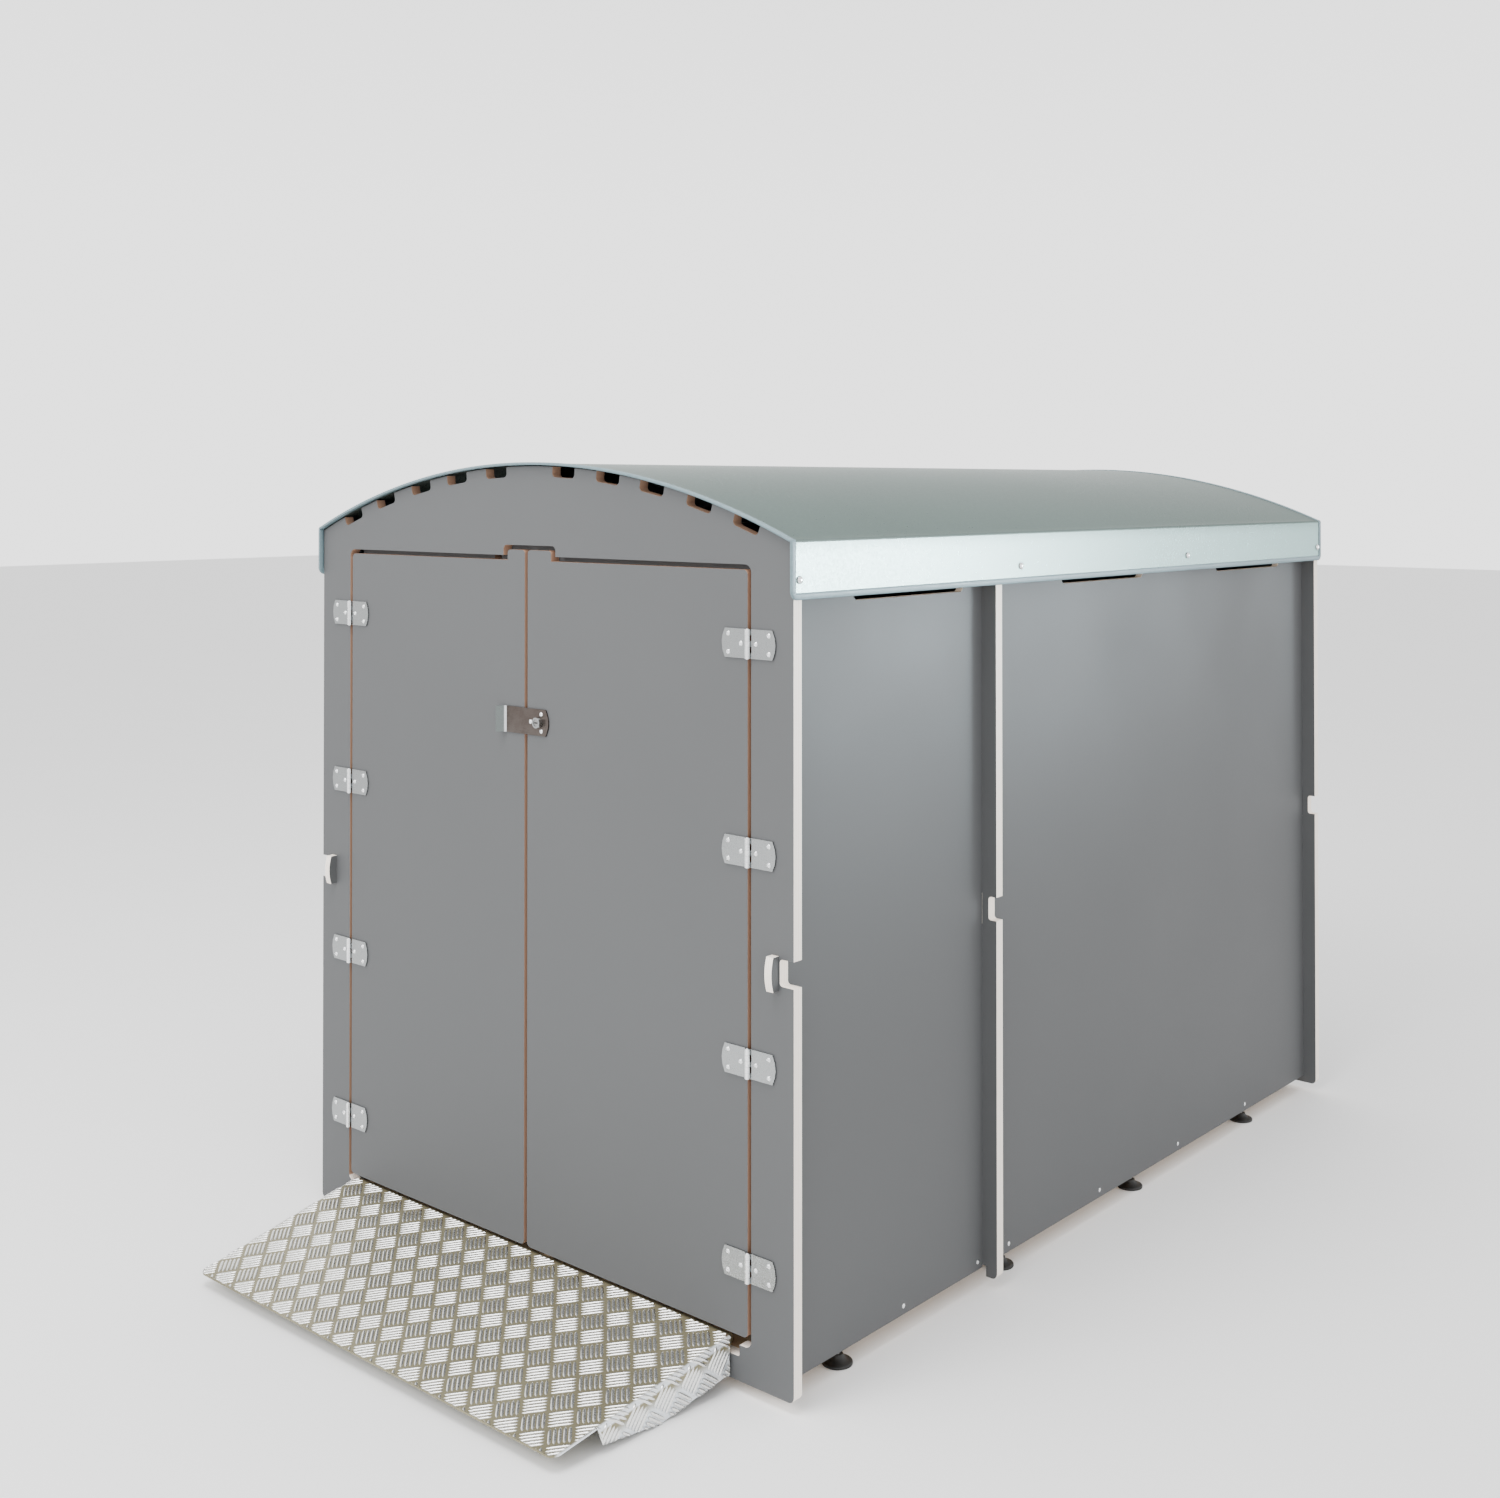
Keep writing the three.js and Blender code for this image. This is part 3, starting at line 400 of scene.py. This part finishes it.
finish_node("front_portal", portal_ply, 0.0007)
finish_node("mid_portal", mid_ply, 0.0007)
finish_node("rear_portal", rear_ply, 0.0007)
for side, material in (("left", side_ply_left), ("right", side_ply_right)):
    finish_node(f"side_panel_front_{side}", material, 0.0006)
    finish_node(f"side_panel_rear_{side}", material, 0.0006)
    finish_node(f"eave_batten_front_{side}", wood, 0.0015)
    finish_node(f"eave_batten_rear_{side}", wood, 0.0015)
    finish_node(f"door_{side}", portal_ply, 0.0008)
    for i in range(1, 5):
        finish_node(f"hinge_{side}_{i}_frame_leaf", hinge_metal, 0.0004)
        finish_node(f"hinge_{side}_{i}_door_leaf", hinge_metal, 0.0004)
finish_node("floor_panel", wood, 0.001)
finish_node("door_stop_left", rear_ply, 0.0008)
finish_node("door_stop_right", rear_ply, 0.0008)
finish_node("lock_plate", lock_metal, 0.0005)
finish_node("lock_cylinder", zinc, 0.0008)
finish_node("lock_plug", steel, 0.0003)
finish_node("shoot_bolt_case", zinc, 0.0006)
finish_node("shoot_bolt", steel, 0.0004)


# ---- mesh helpers --------------------------------------------------------------------------------
def new_piece(name, bm, material, body, smooth=40):
    """A finished bmesh becomes an object that rides on a body."""
    mesh = bpy.data.meshes.new(name)
    bm.normal_update()
    bm.to_mesh(mesh)
    bm.free()
    for face in mesh.polygons:
        face.use_smooth = True
    mesh.set_sharp_from_angle(angle=math.radians(smooth))
    mesh.materials.append(material)
    obj = bpy.data.objects.new(name, mesh)
    bpy.context.scene.collection.objects.link(obj)
    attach(obj, body)
    return obj


def add_grid(bm, rows, close_rows=False, close_columns=False):
    """Quads between rows of points; either direction can be closed."""
    made = [[bm.verts.new(p) for p in row] for row in rows]
    row_pairs = list(zip(made, made[1:]))
    if close_rows:
        row_pairs.append((made[-1], made[0]))
    for a, b in row_pairs:
        count = len(a) if close_columns else len(a) - 1
        for i in range(count):
            j = (i + 1) % len(a)
            bm.faces.new((a[i], a[j], b[j], b[i]))
    return made


def add_lathe(bm, profile, place, segments=24):
    """Turns [radius, height] about local +Z, closing on the axis, then moves it with a matrix."""
    rings = []
    for radius, height in profile:
        if radius == 0:
            rings.append([bm.verts.new(place @ Vector((0, 0, height)))])
        else:
            rings.append([
                bm.verts.new(place @ Vector((radius * math.cos(a), radius * math.sin(a), height)))
                for a in (2 * math.pi * i / segments for i in range(segments))
            ])
    for a, b in zip(rings, rings[1:]):
        for i in range(segments):
            j = (i + 1) % segments
            if len(a) == 1:
                bm.faces.new((a[0], b[i], b[j]))
            elif len(b) == 1:
                bm.faces.new((a[j], a[i], b[0]))
            else:
                bm.faces.new((a[i], b[i], b[j], a[j]))


def looking(direction, at):
    """A matrix that turns local +Z to a direction and moves to a point."""
    return Matrix.Translation(at) @ Vector(direction).to_track_quat("Z", "Y").to_matrix().to_4x4()


def add_screw(bm, at, direction, radius=0.0042, height=0.0021, turn=0.0):
    """A pan-head screw with a sunk cross, seated at `at` and facing `direction`."""
    place = looking(direction, at) @ Matrix.Rotation(turn, 4, "Z")
    segments = 32
    arm = radius * 0.62
    half = radius * 0.15
    rings = [0.12, 0.2, 0.34, 0.48, 0.6, 0.66, 0.8, 0.92, 1.0]
    rows = []
    for share in rings:
        row = []
        for i in range(segments):
            angle = 2 * math.pi * i / segments
            x = radius * share * math.cos(angle)
            y = radius * share * math.sin(angle)
            z = height * (1 - 0.72 * share ** 2.6)
            in_cross = (abs(x) < half or abs(y) < half) and share * radius < arm
            if in_cross:
                z -= height * 0.62 * (1 - share * radius / arm * 0.55)
            row.append(place @ Vector((x, y, z)))
        rows.append(row)
    rows.append([place @ Vector((radius * math.cos(2 * math.pi * i / segments),
                                 radius * math.sin(2 * math.pi * i / segments), 0))
                 for i in range(segments)])
    made = add_grid(bm, rows, close_columns=True)
    bm.faces.new(list(reversed(made[0])))
    bm.faces.new(made[-1])


# ---- roof sheet ----------------------------------------------------------------------------------
CREASE = 0.006                      # bend radius between the roof and its fascias


def roof_section(offset, bottom, steps=96):
    """(x, z, outward x, outward z) along the roof's section, left fascia foot to right fascia foot."""
    edge_angle = math.asin(ROOF_HALF / ROOF_RADIUS)
    arc_angle = edge_angle - math.asin(CREASE / ROOF_RADIUS)
    points = []
    for i in range(steps + 1):
        angle = arc_angle * (2 * i / steps - 1)
        points.append((ROOF_RADIUS * math.sin(angle), ROOF_CENTRE_Z + ROOF_RADIUS * math.cos(angle),
                       math.sin(angle), math.cos(angle)))
    _, end_z, nx, nz = points[-1]
    bend = []
    turns = 6
    start_angle = math.atan2(nx, nz)
    for i in range(1, turns + 1):
        angle = start_angle + (math.pi / 2 - start_angle) * i / turns
        centre_x = ROOF_HALF - CREASE
        centre_z = end_z - CREASE * math.cos(start_angle)
        bend.append((centre_x + CREASE * math.sin(angle), centre_z + CREASE * math.cos(angle),
                     math.sin(angle), math.cos(angle)))
    foot = [(ROOF_HALF, EAVE_Z - 0.03, 1, 0), (ROOF_HALF, bottom, 1, 0)]
    right = points + bend + foot
    left = [(-x, z, -nx, nz) for x, z, nx, nz in reversed(bend + foot)]
    section = left + right
    return [(x + nx * offset, z + nz * offset, nx, nz) for x, z, nx, nz in section]


def corner_cut(z, y_end, inward):
    """Where the sheet ends along Y at height z, with the fascia's rounded corner."""
    top = FASCIA_Z + FASCIA_CORNER
    if z >= top:
        return y_end
    drop = min(1.0, (top - z) / FASCIA_CORNER)
    return y_end + inward * FASCIA_CORNER * (1 - math.sqrt(max(0.0, 1 - drop * drop)))


def make_roof():
    bm = bmesh.new()
    base = roof_section(0, FASCIA_Z + FASCIA_CORNER)
    tails = [(ROOF_HALF, FASCIA_Z + FASCIA_CORNER - FASCIA_CORNER * math.sin(math.pi / 2 * k / 6), 1, 0)
             for k in range(1, 7)]
    section = [(-x, z, -nx, nz) for x, z, nx, nz in reversed(tails)] + base + tails
    lengths = 24
    outer = []
    inner = []
    for x, z, nx, nz in section:
        start = corner_cut(z, roof_low.y, 1)
        end = corner_cut(z, roof_high.y, -1)
        ys = [start + (end - start) * i / lengths for i in range(lengths + 1)]
        outer.append([(x, y, z) for y in ys])
        inner.append([(x - nx * SHEET, y, z - nz * SHEET) for y in ys])
    made_outer = add_grid(bm, outer)
    made_inner = add_grid(bm, [list(reversed(row)) for row in inner])
    made_inner = [list(reversed(row)) for row in made_inner]
    for a, b, c, d in zip(made_outer, made_outer[1:], made_inner, made_inner[1:]):
        bm.faces.new((a[0], b[0], d[0], c[0]))
        bm.faces.new((b[-1], a[-1], c[-1], d[-1]))
    for row_a, row_b, flip in ((made_outer[0], made_inner[0], False), (made_outer[-1], made_inner[-1], True)):
        for i in range(lengths):
            quad = (row_a[i + 1], row_a[i], row_b[i], row_b[i + 1])
            bm.faces.new(tuple(reversed(quad)) if flip else quad)
    bmesh.ops.recalc_face_normals(bm, faces=bm.faces)
    roof = new_piece("roof_skin", bm, roof_coat, "shelter", 30)
    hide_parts("roof_sheet")


make_roof()


# ---- edge trim: a U profile round the sheet's free edges, with fine ribs across it ---------------
TRIM_REACH = 0.0102
TRIM_HALF = 0.0027
TRIM_LIP = 0.0014
RIB_PITCH = 0.0034
RIB_DEPTH = 0.00045


def trim_path():
    """(point, inward direction, outward normal) once round the sheet's edge."""
    def resampled(points):
        out = []
        for (p, w, n), (q, w2, n2) in zip(points, points[1:]):
            length = (q - p).length
            count = max(1, round(length / (RIB_PITCH / 2)))
            for i in range(count):
                t = i / count
                out.append((p.lerp(q, t), w.lerp(w2, t).normalized(), n.lerp(n2, t).normalized()))
        return out

    section = roof_section(0, FASCIA_Z + FASCIA_CORNER)
    front = [(Vector((x, roof_low.y, z)), Vector((0, 1, 0)), Vector((nx, 0, nz))) for x, z, nx, nz in section]
    rear = [(Vector((x, roof_high.y, z)), Vector((0, -1, 0)), Vector((nx, 0, nz)))
            for x, z, nx, nz in reversed(section)]

    def corner(x, y_end, inward, downwards):
        steps = 8
        points = []
        for i in range(1, steps + 1):
            angle = math.pi / 2 * i / steps
            if not downwards:
                angle = math.pi / 2 - angle
            y = y_end + inward * FASCIA_CORNER * (1 - math.cos(angle))
            z = FASCIA_Z + FASCIA_CORNER * (1 - math.sin(angle))
            w = Vector((0, inward * math.cos(angle), math.sin(angle)))
            points.append((Vector((x, y, z)), w, Vector((math.copysign(1, x), 0, 0))))
        return points

    path = list(front)
    path += corner(ROOF_HALF, roof_low.y, 1, True)
    path.append((Vector((ROOF_HALF, roof_high.y - FASCIA_CORNER, FASCIA_Z)), Vector((0, 0, 1)),
                 Vector((1, 0, 0))))
    path += corner(ROOF_HALF, roof_high.y, -1, False)
    path += rear[1:]
    path += corner(-ROOF_HALF, roof_high.y, -1, True)
    path.append((Vector((-ROOF_HALF, roof_low.y + FASCIA_CORNER, FASCIA_Z)), Vector((0, 0, 1)),
                 Vector((-1, 0, 0))))
    path += corner(-ROOF_HALF, roof_low.y, 1, False)
    return resampled(path)


def make_trim():
    bm = bmesh.new()
    outline = []
    for i in range(7):
        angle = math.pi * i / 6
        outline.append((-TRIM_LIP * math.sin(angle) - 0.0002, TRIM_HALF * math.cos(angle), 1.0))
    outline.append((TRIM_REACH * 0.55, -TRIM_HALF, 1.0))
    outline.append((TRIM_REACH - 0.0008, -TRIM_HALF, 0.4))
    outline.append((TRIM_REACH, -TRIM_HALF + 0.0009, 0.0))
    outline.append((TRIM_REACH, TRIM_HALF - 0.0009, 0.0))
    outline.append((TRIM_REACH - 0.0008, TRIM_HALF, 0.4))
    outline.append((TRIM_REACH * 0.55, TRIM_HALF, 1.0))
    rows = []
    for index, (p, w, n) in enumerate(trim_path()):
        rib = RIB_DEPTH if index % 2 else 0.0
        row = []
        for a, b, share in outline:
            sunk_b = b - math.copysign(rib * share, b) if abs(b) > 1e-6 else b
            sunk_a = a + rib * share if a < 0 else a
            row.append(p + w * sunk_a + n * (sunk_b - SHEET / 2))
        rows.append(row)
    add_grid(bm, rows, close_rows=True, close_columns=True)
    bmesh.ops.recalc_face_normals(bm, faces=bm.faces)
    trim = new_piece("roof_trim", bm, trim_plastic, "shelter", 60)
    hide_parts("roof_edge_trim")


make_trim()


# ---- roof bolts and levelling feet ---------------------------------------------------------------
def make_roof_bolts():
    for side, sign in (("left", -1), ("right", 1)):
        for i in range(1, 5):
            low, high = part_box(f"roof_bolt_{side}_{i}")
            middle = (low + high) / 2
            bm = bmesh.new()
            place = looking((sign, 0, 0), Vector((sign * (ROOF_HALF + 0.0003), middle.y, middle.z)))
            dome = [(0.0, 0.0044)] + [
                (0.00675 * math.sin(a), 0.0008 + 0.0036 * math.cos(a))
                for a in (math.pi / 2 * k / 8 for k in range(1, 9))
            ]
            dome += [(0.00675, 0.0), (0.0025, 0.0), (0.0025, -0.028), (0.0, -0.030)]
            add_lathe(bm, dome, place, 32)
            bolt = new_piece(f"dome_bolt_{side}_{i}", bm, bright, "shelter")
            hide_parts(f"roof_bolt_{side}_{i}")


def make_feet():
    pad = [(0.0, 0.0), (0.0262, 0.0), (0.0272, 0.0006), (0.0275, 0.0016), (0.0275, 0.0042), (0.0268, 0.0052),
           (0.0225, 0.0062), (0.0175, 0.0085), (0.0135, 0.0120), (0.0112, 0.0150), (0.0104, 0.0176),
           (0.0096, 0.0184), (0.0062, 0.0184), (0.0060, 0.0170), (0.0, 0.0170)]
    for side, sign in (("left", -1), ("right", 1)):
        for i in range(1, 5):
            low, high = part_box(f"foot_{side}_{i}")
            at = Vector(((low.x + high.x) / 2, (low.y + high.y) / 2, 0))
            bm = bmesh.new()
            add_lathe(bm, pad, Matrix.Translation(at), 40)
            bmesh.ops.recalc_face_normals(bm, faces=bm.faces)
            new_piece(f"foot_pad_{side}_{i}", bm, black, "shelter", 50)
            bm = bmesh.new()
            thread = [(0.0, 0.0172)]
            turns = 26
            for k in range(turns * 2):
                z = 0.0174 + (high.z - 0.0180) * k / (turns * 2) * 0.66
                thread.append((0.0040 if k % 2 else 0.0036, z))
            thread.append((0.0038, high.z))
            thread.append((0.0, high.z))
            add_lathe(bm, thread, Matrix.Translation(at), 20)
            nut = [(0.0, 0.0301), (0.0064, 0.0301), (0.0073, 0.0308), (0.0073, 0.0362), (0.0064, 0.0369),
                   (0.0, 0.0369)]
            add_lathe(bm, nut, Matrix.Translation(at), 6)
            bmesh.ops.recalc_face_normals(bm, faces=bm.faces)
            stem = new_piece(f"foot_stem_{side}_{i}", bm, zinc, "shelter", 35)
            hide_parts(f"foot_{side}_{i}")


make_roof_bolts()
make_feet()


# ---- screws --------------------------------------------------------------------------------------
HINGE_SCREWS = ((0.0455, 0.0155), (0.0455, -0.0155), (0.0168, 0.0))    # out from the pin, up
LOCK_SCREWS = ((0.0375, 0.0160), (0.0375, -0.0160), (0.0080, 0.0))     # x, up from the plate's middle
FLOOR_SCREW_Y = (0.352, 0.593, 0.702, 1.054, 1.403, 1.743)             # back from the front face
FLOOR_SCREW_Z = 0.051
KNUCKLE_REACH = 0.0046              # from a leaf's knuckle side to the hinge pin
LEAF_FACE = 0.0030                  # a hinge leaf's face in front of the doors
LOCK_FACE = 0.0028                  # the lock plate's face in front of the doors


def make_screws():
    for side in ("left", "right"):
        frame_bm = bmesh.new()
        door_bm = bmesh.new()
        for i in range(1, 5):
            for leaf, bm in (("frame", frame_bm), ("door", door_bm)):
                low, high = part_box(f"hinge_{side}_{i}_{leaf}_leaf")
                middle_z = (low.z + high.z) / 2
                leaf_is_right = (leaf == "frame") == (side == "right")
                near = low.x if leaf_is_right else high.x
                out = 1 if leaf_is_right else -1
                face_y = FRONT_Y - LEAF_FACE
                for across, up in HINGE_SCREWS:
                    at = Vector((near + out * (across + KNUCKLE_REACH), face_y, middle_z + up))
                    add_screw(bm, at, (0, -1, 0), 0.0043, 0.0026, random.uniform(0, 1.5))
        new_piece(f"hinge_frame_screws_{side}", frame_bm, bright, "shelter", 35)
        new_piece(f"hinge_door_screws_{side}", door_bm, bright, f"{side}_door", 35)
    low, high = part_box("lock_plate")
    middle_z = (low.z + high.z) / 2
    bm = bmesh.new()
    for x, up in LOCK_SCREWS:
        add_screw(bm, Vector((x, FRONT_Y - LOCK_FACE, middle_z + up)), (0, -1, 0), 0.0040, 0.0018,
                  random.uniform(0, 1.5))
    new_piece("lock_screws", bm, bright, "right_door", 35)
    for side, sign in (("left", -1), ("right", 1)):
        bm = bmesh.new()
        for y in FLOOR_SCREW_Y:
            at = Vector((sign * side_high.x, FRONT_Y + y, FLOOR_SCREW_Z))
            add_screw(bm, at, (sign, 0, 0), 0.0042, 0.0012, random.uniform(0, 1.5))
        new_piece(f"floor_screws_{side}", bm, bright, "shelter", 35)


make_screws()


# ---- ramp ----------------------------------------------------------------------------------------
RAMP_HALF = 0.502
RAMP_TAPER = 0.052
RAMP_CENTRE_X = -0.015
RAMP_INSET = 0.006
RAMP_BEND = 0.010
RAMP_RUN = 0.382
RAMP_SLOPE = 0.158
RAMP_TOP_Z = 0.0885
RAMP_PITCH = math.atan(RAMP_SLOPE)
RAMP_LENGTH = (RAMP_RUN + 0.002) / math.cos(RAMP_PITCH)
FLANGE_START = 0.092
FLANGE_FRONT = 0.029
FLANGE_DEEP = 0.062
FLANGE_DEEP_AT = 0.214
FLANGE_END = RAMP_LENGTH - 0.006 / math.cos(RAMP_PITCH)
TIP_RADIUS = 0.016
CELL = 0.0435
BARS = 5
BAR_PITCH = 0.0080
BAR_LENGTH = 0.0400
BAR_WIDTH = 0.0058
BAR_HEIGHT = 0.0014
BAR_SECTION = ((-1, -0.3), (-0.7, 0.52), (-0.3, 0.93), (0, 1.0), (0.3, 0.93), (0.7, 0.52), (1, -0.3))
BAR_EDGE_MARGIN = 0.0012            # the bars stay this far in from the sheet's edges
FLAT_HALF = RAMP_HALF - RAMP_BEND
FOLD_LENGTH = RAMP_BEND * math.pi / 2

to_slope = (
    Matrix.Translation(Vector((RAMP_CENTRE_X, FRONT_Y - RAMP_RUN, RAMP_TOP_Z - RAMP_RUN * RAMP_SLOPE)))
    @ Matrix.Rotation(RAMP_PITCH, 4, "X")
)


def flange_depth(t):
    if t < FLANGE_START:
        return 0.0
    if t < FLANGE_DEEP_AT:
        share = (t - FLANGE_START) / (FLANGE_DEEP_AT - FLANGE_START)
        return FLANGE_FRONT + (FLANGE_DEEP - FLANGE_FRONT) * share
    return FLANGE_DEEP


def on_ramp(s, t, height):
    """A point `height` over the outer surface of the folded sheet, s across it and t up the slope."""
    side = math.copysign(1.0, s)
    past = abs(s) - FLAT_HALF
    if past <= 0:
        point = Vector((s, t, height))
    elif past < FOLD_LENGTH:
        angle = past / RAMP_BEND
        reach = RAMP_BEND + height
        point = Vector((side * (FLAT_HALF + reach * math.sin(angle)), t,
                        -RAMP_BEND + reach * math.cos(angle)))
    else:
        point = Vector((side * (RAMP_HALF + height), t, -RAMP_BEND - (past - FOLD_LENGTH)))
    point.x *= 1 + RAMP_TAPER * t / RAMP_LENGTH
    return to_slope @ point


def kept_inside(s, t):
    """The nearest place on the cut sheet to (s, t), a little in from its edges."""
    margin = BAR_EDGE_MARGIN
    t = min(max(t, margin), RAMP_LENGTH - 0.001)
    side = math.copysign(1.0, s)
    across = abs(s)
    depth = flange_depth(min(t, FLANGE_END))
    if depth == 0 or t > FLANGE_END:
        limit = RAMP_HALF - RAMP_INSET - margin
        if t < TIP_RADIUS:
            limit -= TIP_RADIUS - math.sqrt(max(0.0, TIP_RADIUS ** 2 - (TIP_RADIUS - t) ** 2))
    else:
        limit = FLAT_HALF + FOLD_LENGTH + depth - RAMP_BEND - margin
    across = min(across, limit)
    if across > FLAT_HALF:
        below = max(0.0, across - FLAT_HALF - FOLD_LENGTH + RAMP_BEND)
        t = min(t, FLANGE_END - below * RAMP_SLOPE - margin)
    return side * across, t


def add_bar(bm, s, t, ds, dt):
    """One raised bar with blunt, rounded ends, centred at (s, t) and running along (ds, dt)."""
    along = 10
    rows = []
    visible = False
    for i in range(along + 1):
        share = 2 * i / along - 1
        width = BAR_WIDTH / 2 * math.sqrt(max(0.0, 1 - abs(share) ** 4)) + 0.0002
        rise = BAR_HEIGHT * max(0.0, 1 - abs(share) ** 6) + 0.00002
        row = []
        for across, lift in BAR_SECTION:
            u = share * BAR_LENGTH / 2
            v = across * width
            wanted = (s + ds * u - dt * v, t + dt * u + ds * v)
            kept = kept_inside(*wanted)
            if across == 0 and abs(kept[0] - wanted[0]) + abs(kept[1] - wanted[1]) < 1e-6:
                visible = True
            row.append(on_ramp(kept[0], kept[1], rise * lift))
        rows.append(row)
    if visible:
        add_grid(bm, rows)


def make_tread():
    bm = bmesh.new()
    root_half = math.sqrt(0.5)
    reach = FLAT_HALF + FOLD_LENGTH + FLANGE_DEEP
    count = int((reach + RAMP_LENGTH) / CELL) + 2
    for i in range(-count, count + 1):
        for j in range(-count, count + 1):
            s = (i - j) * CELL * root_half
            t = (i + j) * CELL * root_half + 0.014
            if abs(s) > reach + CELL / 2 or t < -CELL / 2 or t > RAMP_LENGTH + CELL / 2:
                continue
            runs_right = (i + j) % 2 == 0
            ds, dt = (root_half, root_half) if runs_right else (-root_half, root_half)
            for k in range(BARS):
                step = (k - (BARS - 1) / 2) * BAR_PITCH
                add_bar(bm, s - dt * step, t + ds * step, ds, dt)
    bmesh.ops.recalc_face_normals(bm, faces=bm.faces)
    new_piece("tread_bars", bm, bar_metal, "ramp", 75)


tread = tread_aluminium(RAMP_CENTRE_X, FRONT_Y - RAMP_RUN, RAMP_HALF, RAMP_HALF * RAMP_TAPER / RAMP_RUN)
finish_node("ramp", tread, 0.0006)
make_tread()


# ---- floor, light and camera ---------------------------------------------------------------------
WALL_LIGHT = 2.5
CEILING_LIGHT = 1.2


def make_stage():
    bm = bmesh.new()
    size = 30.0
    steps = 6
    rows = [[(-size + 2 * size * i / steps, -size + 2 * size * j / steps, 0) for i in range(steps + 1)]
            for j in range(steps + 1)]
    add_grid(bm, rows)
    mesh = bpy.data.meshes.new("studio_floor")
    bm.to_mesh(mesh)
    bm.free()
    mesh.materials.append(floor_material())
    floor = bpy.data.objects.new("studio_floor", mesh)
    bpy.context.scene.collection.objects.link(floor)


def area_light(name, at, target, width, height, power, color=(1, 1, 1), spread=180):
    data = bpy.data.lights.new(name, "AREA")
    data.shape = "RECTANGLE"
    data.size = width
    data.size_y = height
    data.energy = power
    data.color = color
    data.spread = math.radians(spread)
    light = bpy.data.objects.new(name, data)
    light.location = at
    light.rotation_euler = (Vector(target) - Vector(at)).to_track_quat("-Z", "Y").to_euler()
    bpy.context.scene.collection.objects.link(light)


def make_world():
    """A white studio whose walls are brighter than its ceiling."""
    world = bpy.data.worlds.new("studio")
    bpy.context.scene.world = world
    world.use_nodes = True
    tree = world.node_tree
    back = tree.nodes["Background"]
    back.inputs["Color"].default_value = (1.0, 1.0, 1.0, 1)
    coords = tree.nodes.new("ShaderNodeTexCoord")
    split = tree.nodes.new("ShaderNodeSeparateXYZ")
    height = tree.nodes.new("ShaderNodeMapRange")
    tree.links.new(coords.outputs["Generated"], split.inputs[0])
    tree.links.new(split.outputs["Z"], height.inputs[0])
    for socket, number in zip(list(height.inputs)[1:5], (0.15, 0.85, WALL_LIGHT, CEILING_LIGHT)):
        socket.default_value = number
    tree.links.new(height.outputs[0], back.inputs["Strength"])


make_stage()
make_world()
area_light("key", (-0.6, -6.0, 4.2), (0, -0.5, 0.6), 3.0, 3.0, 208)
area_light("fascia_glow", (3.2, 2.1, 1.25), (0.65, -0.7, 1.40), 1.3, 0.5, 5.0, (0.80, 0.93, 1.0), 24)
area_light("fascia_rear_glow", (3.4, 4.4, 1.25), (0.65, 0.1, 1.40), 2.4, 0.5, 2.2, (0.80, 0.93, 1.0), 24)
area_light("overhead", (0.3, -2.1, 4.2), (0, -1.2, 0), 2.0, 1.6, 125)
area_light("top", (0.5, 0.6, 5.5), (0, 0.2, 0), 4.5, 4.5, 60)

SENSOR = 36.0                       # millimetres, like the lens
LENS = 42.528
SHIFT_X = 0.008567
SHIFT_Y = -0.189093
camera_data = bpy.data.cameras.new("camera")
camera_data.sensor_width = SENSOR
camera_data.lens = LENS
camera_data.shift_x = SHIFT_X
camera_data.shift_y = SHIFT_Y
camera = bpy.data.objects.new("camera", camera_data)
camera.location = (2.5162, FRONT_Y - 2.2707, 1.5364)
camera.rotation_euler = (math.radians(90.64), 0, math.radians(41.24))
bpy.context.scene.collection.objects.link(camera)
bpy.context.scene.camera = camera
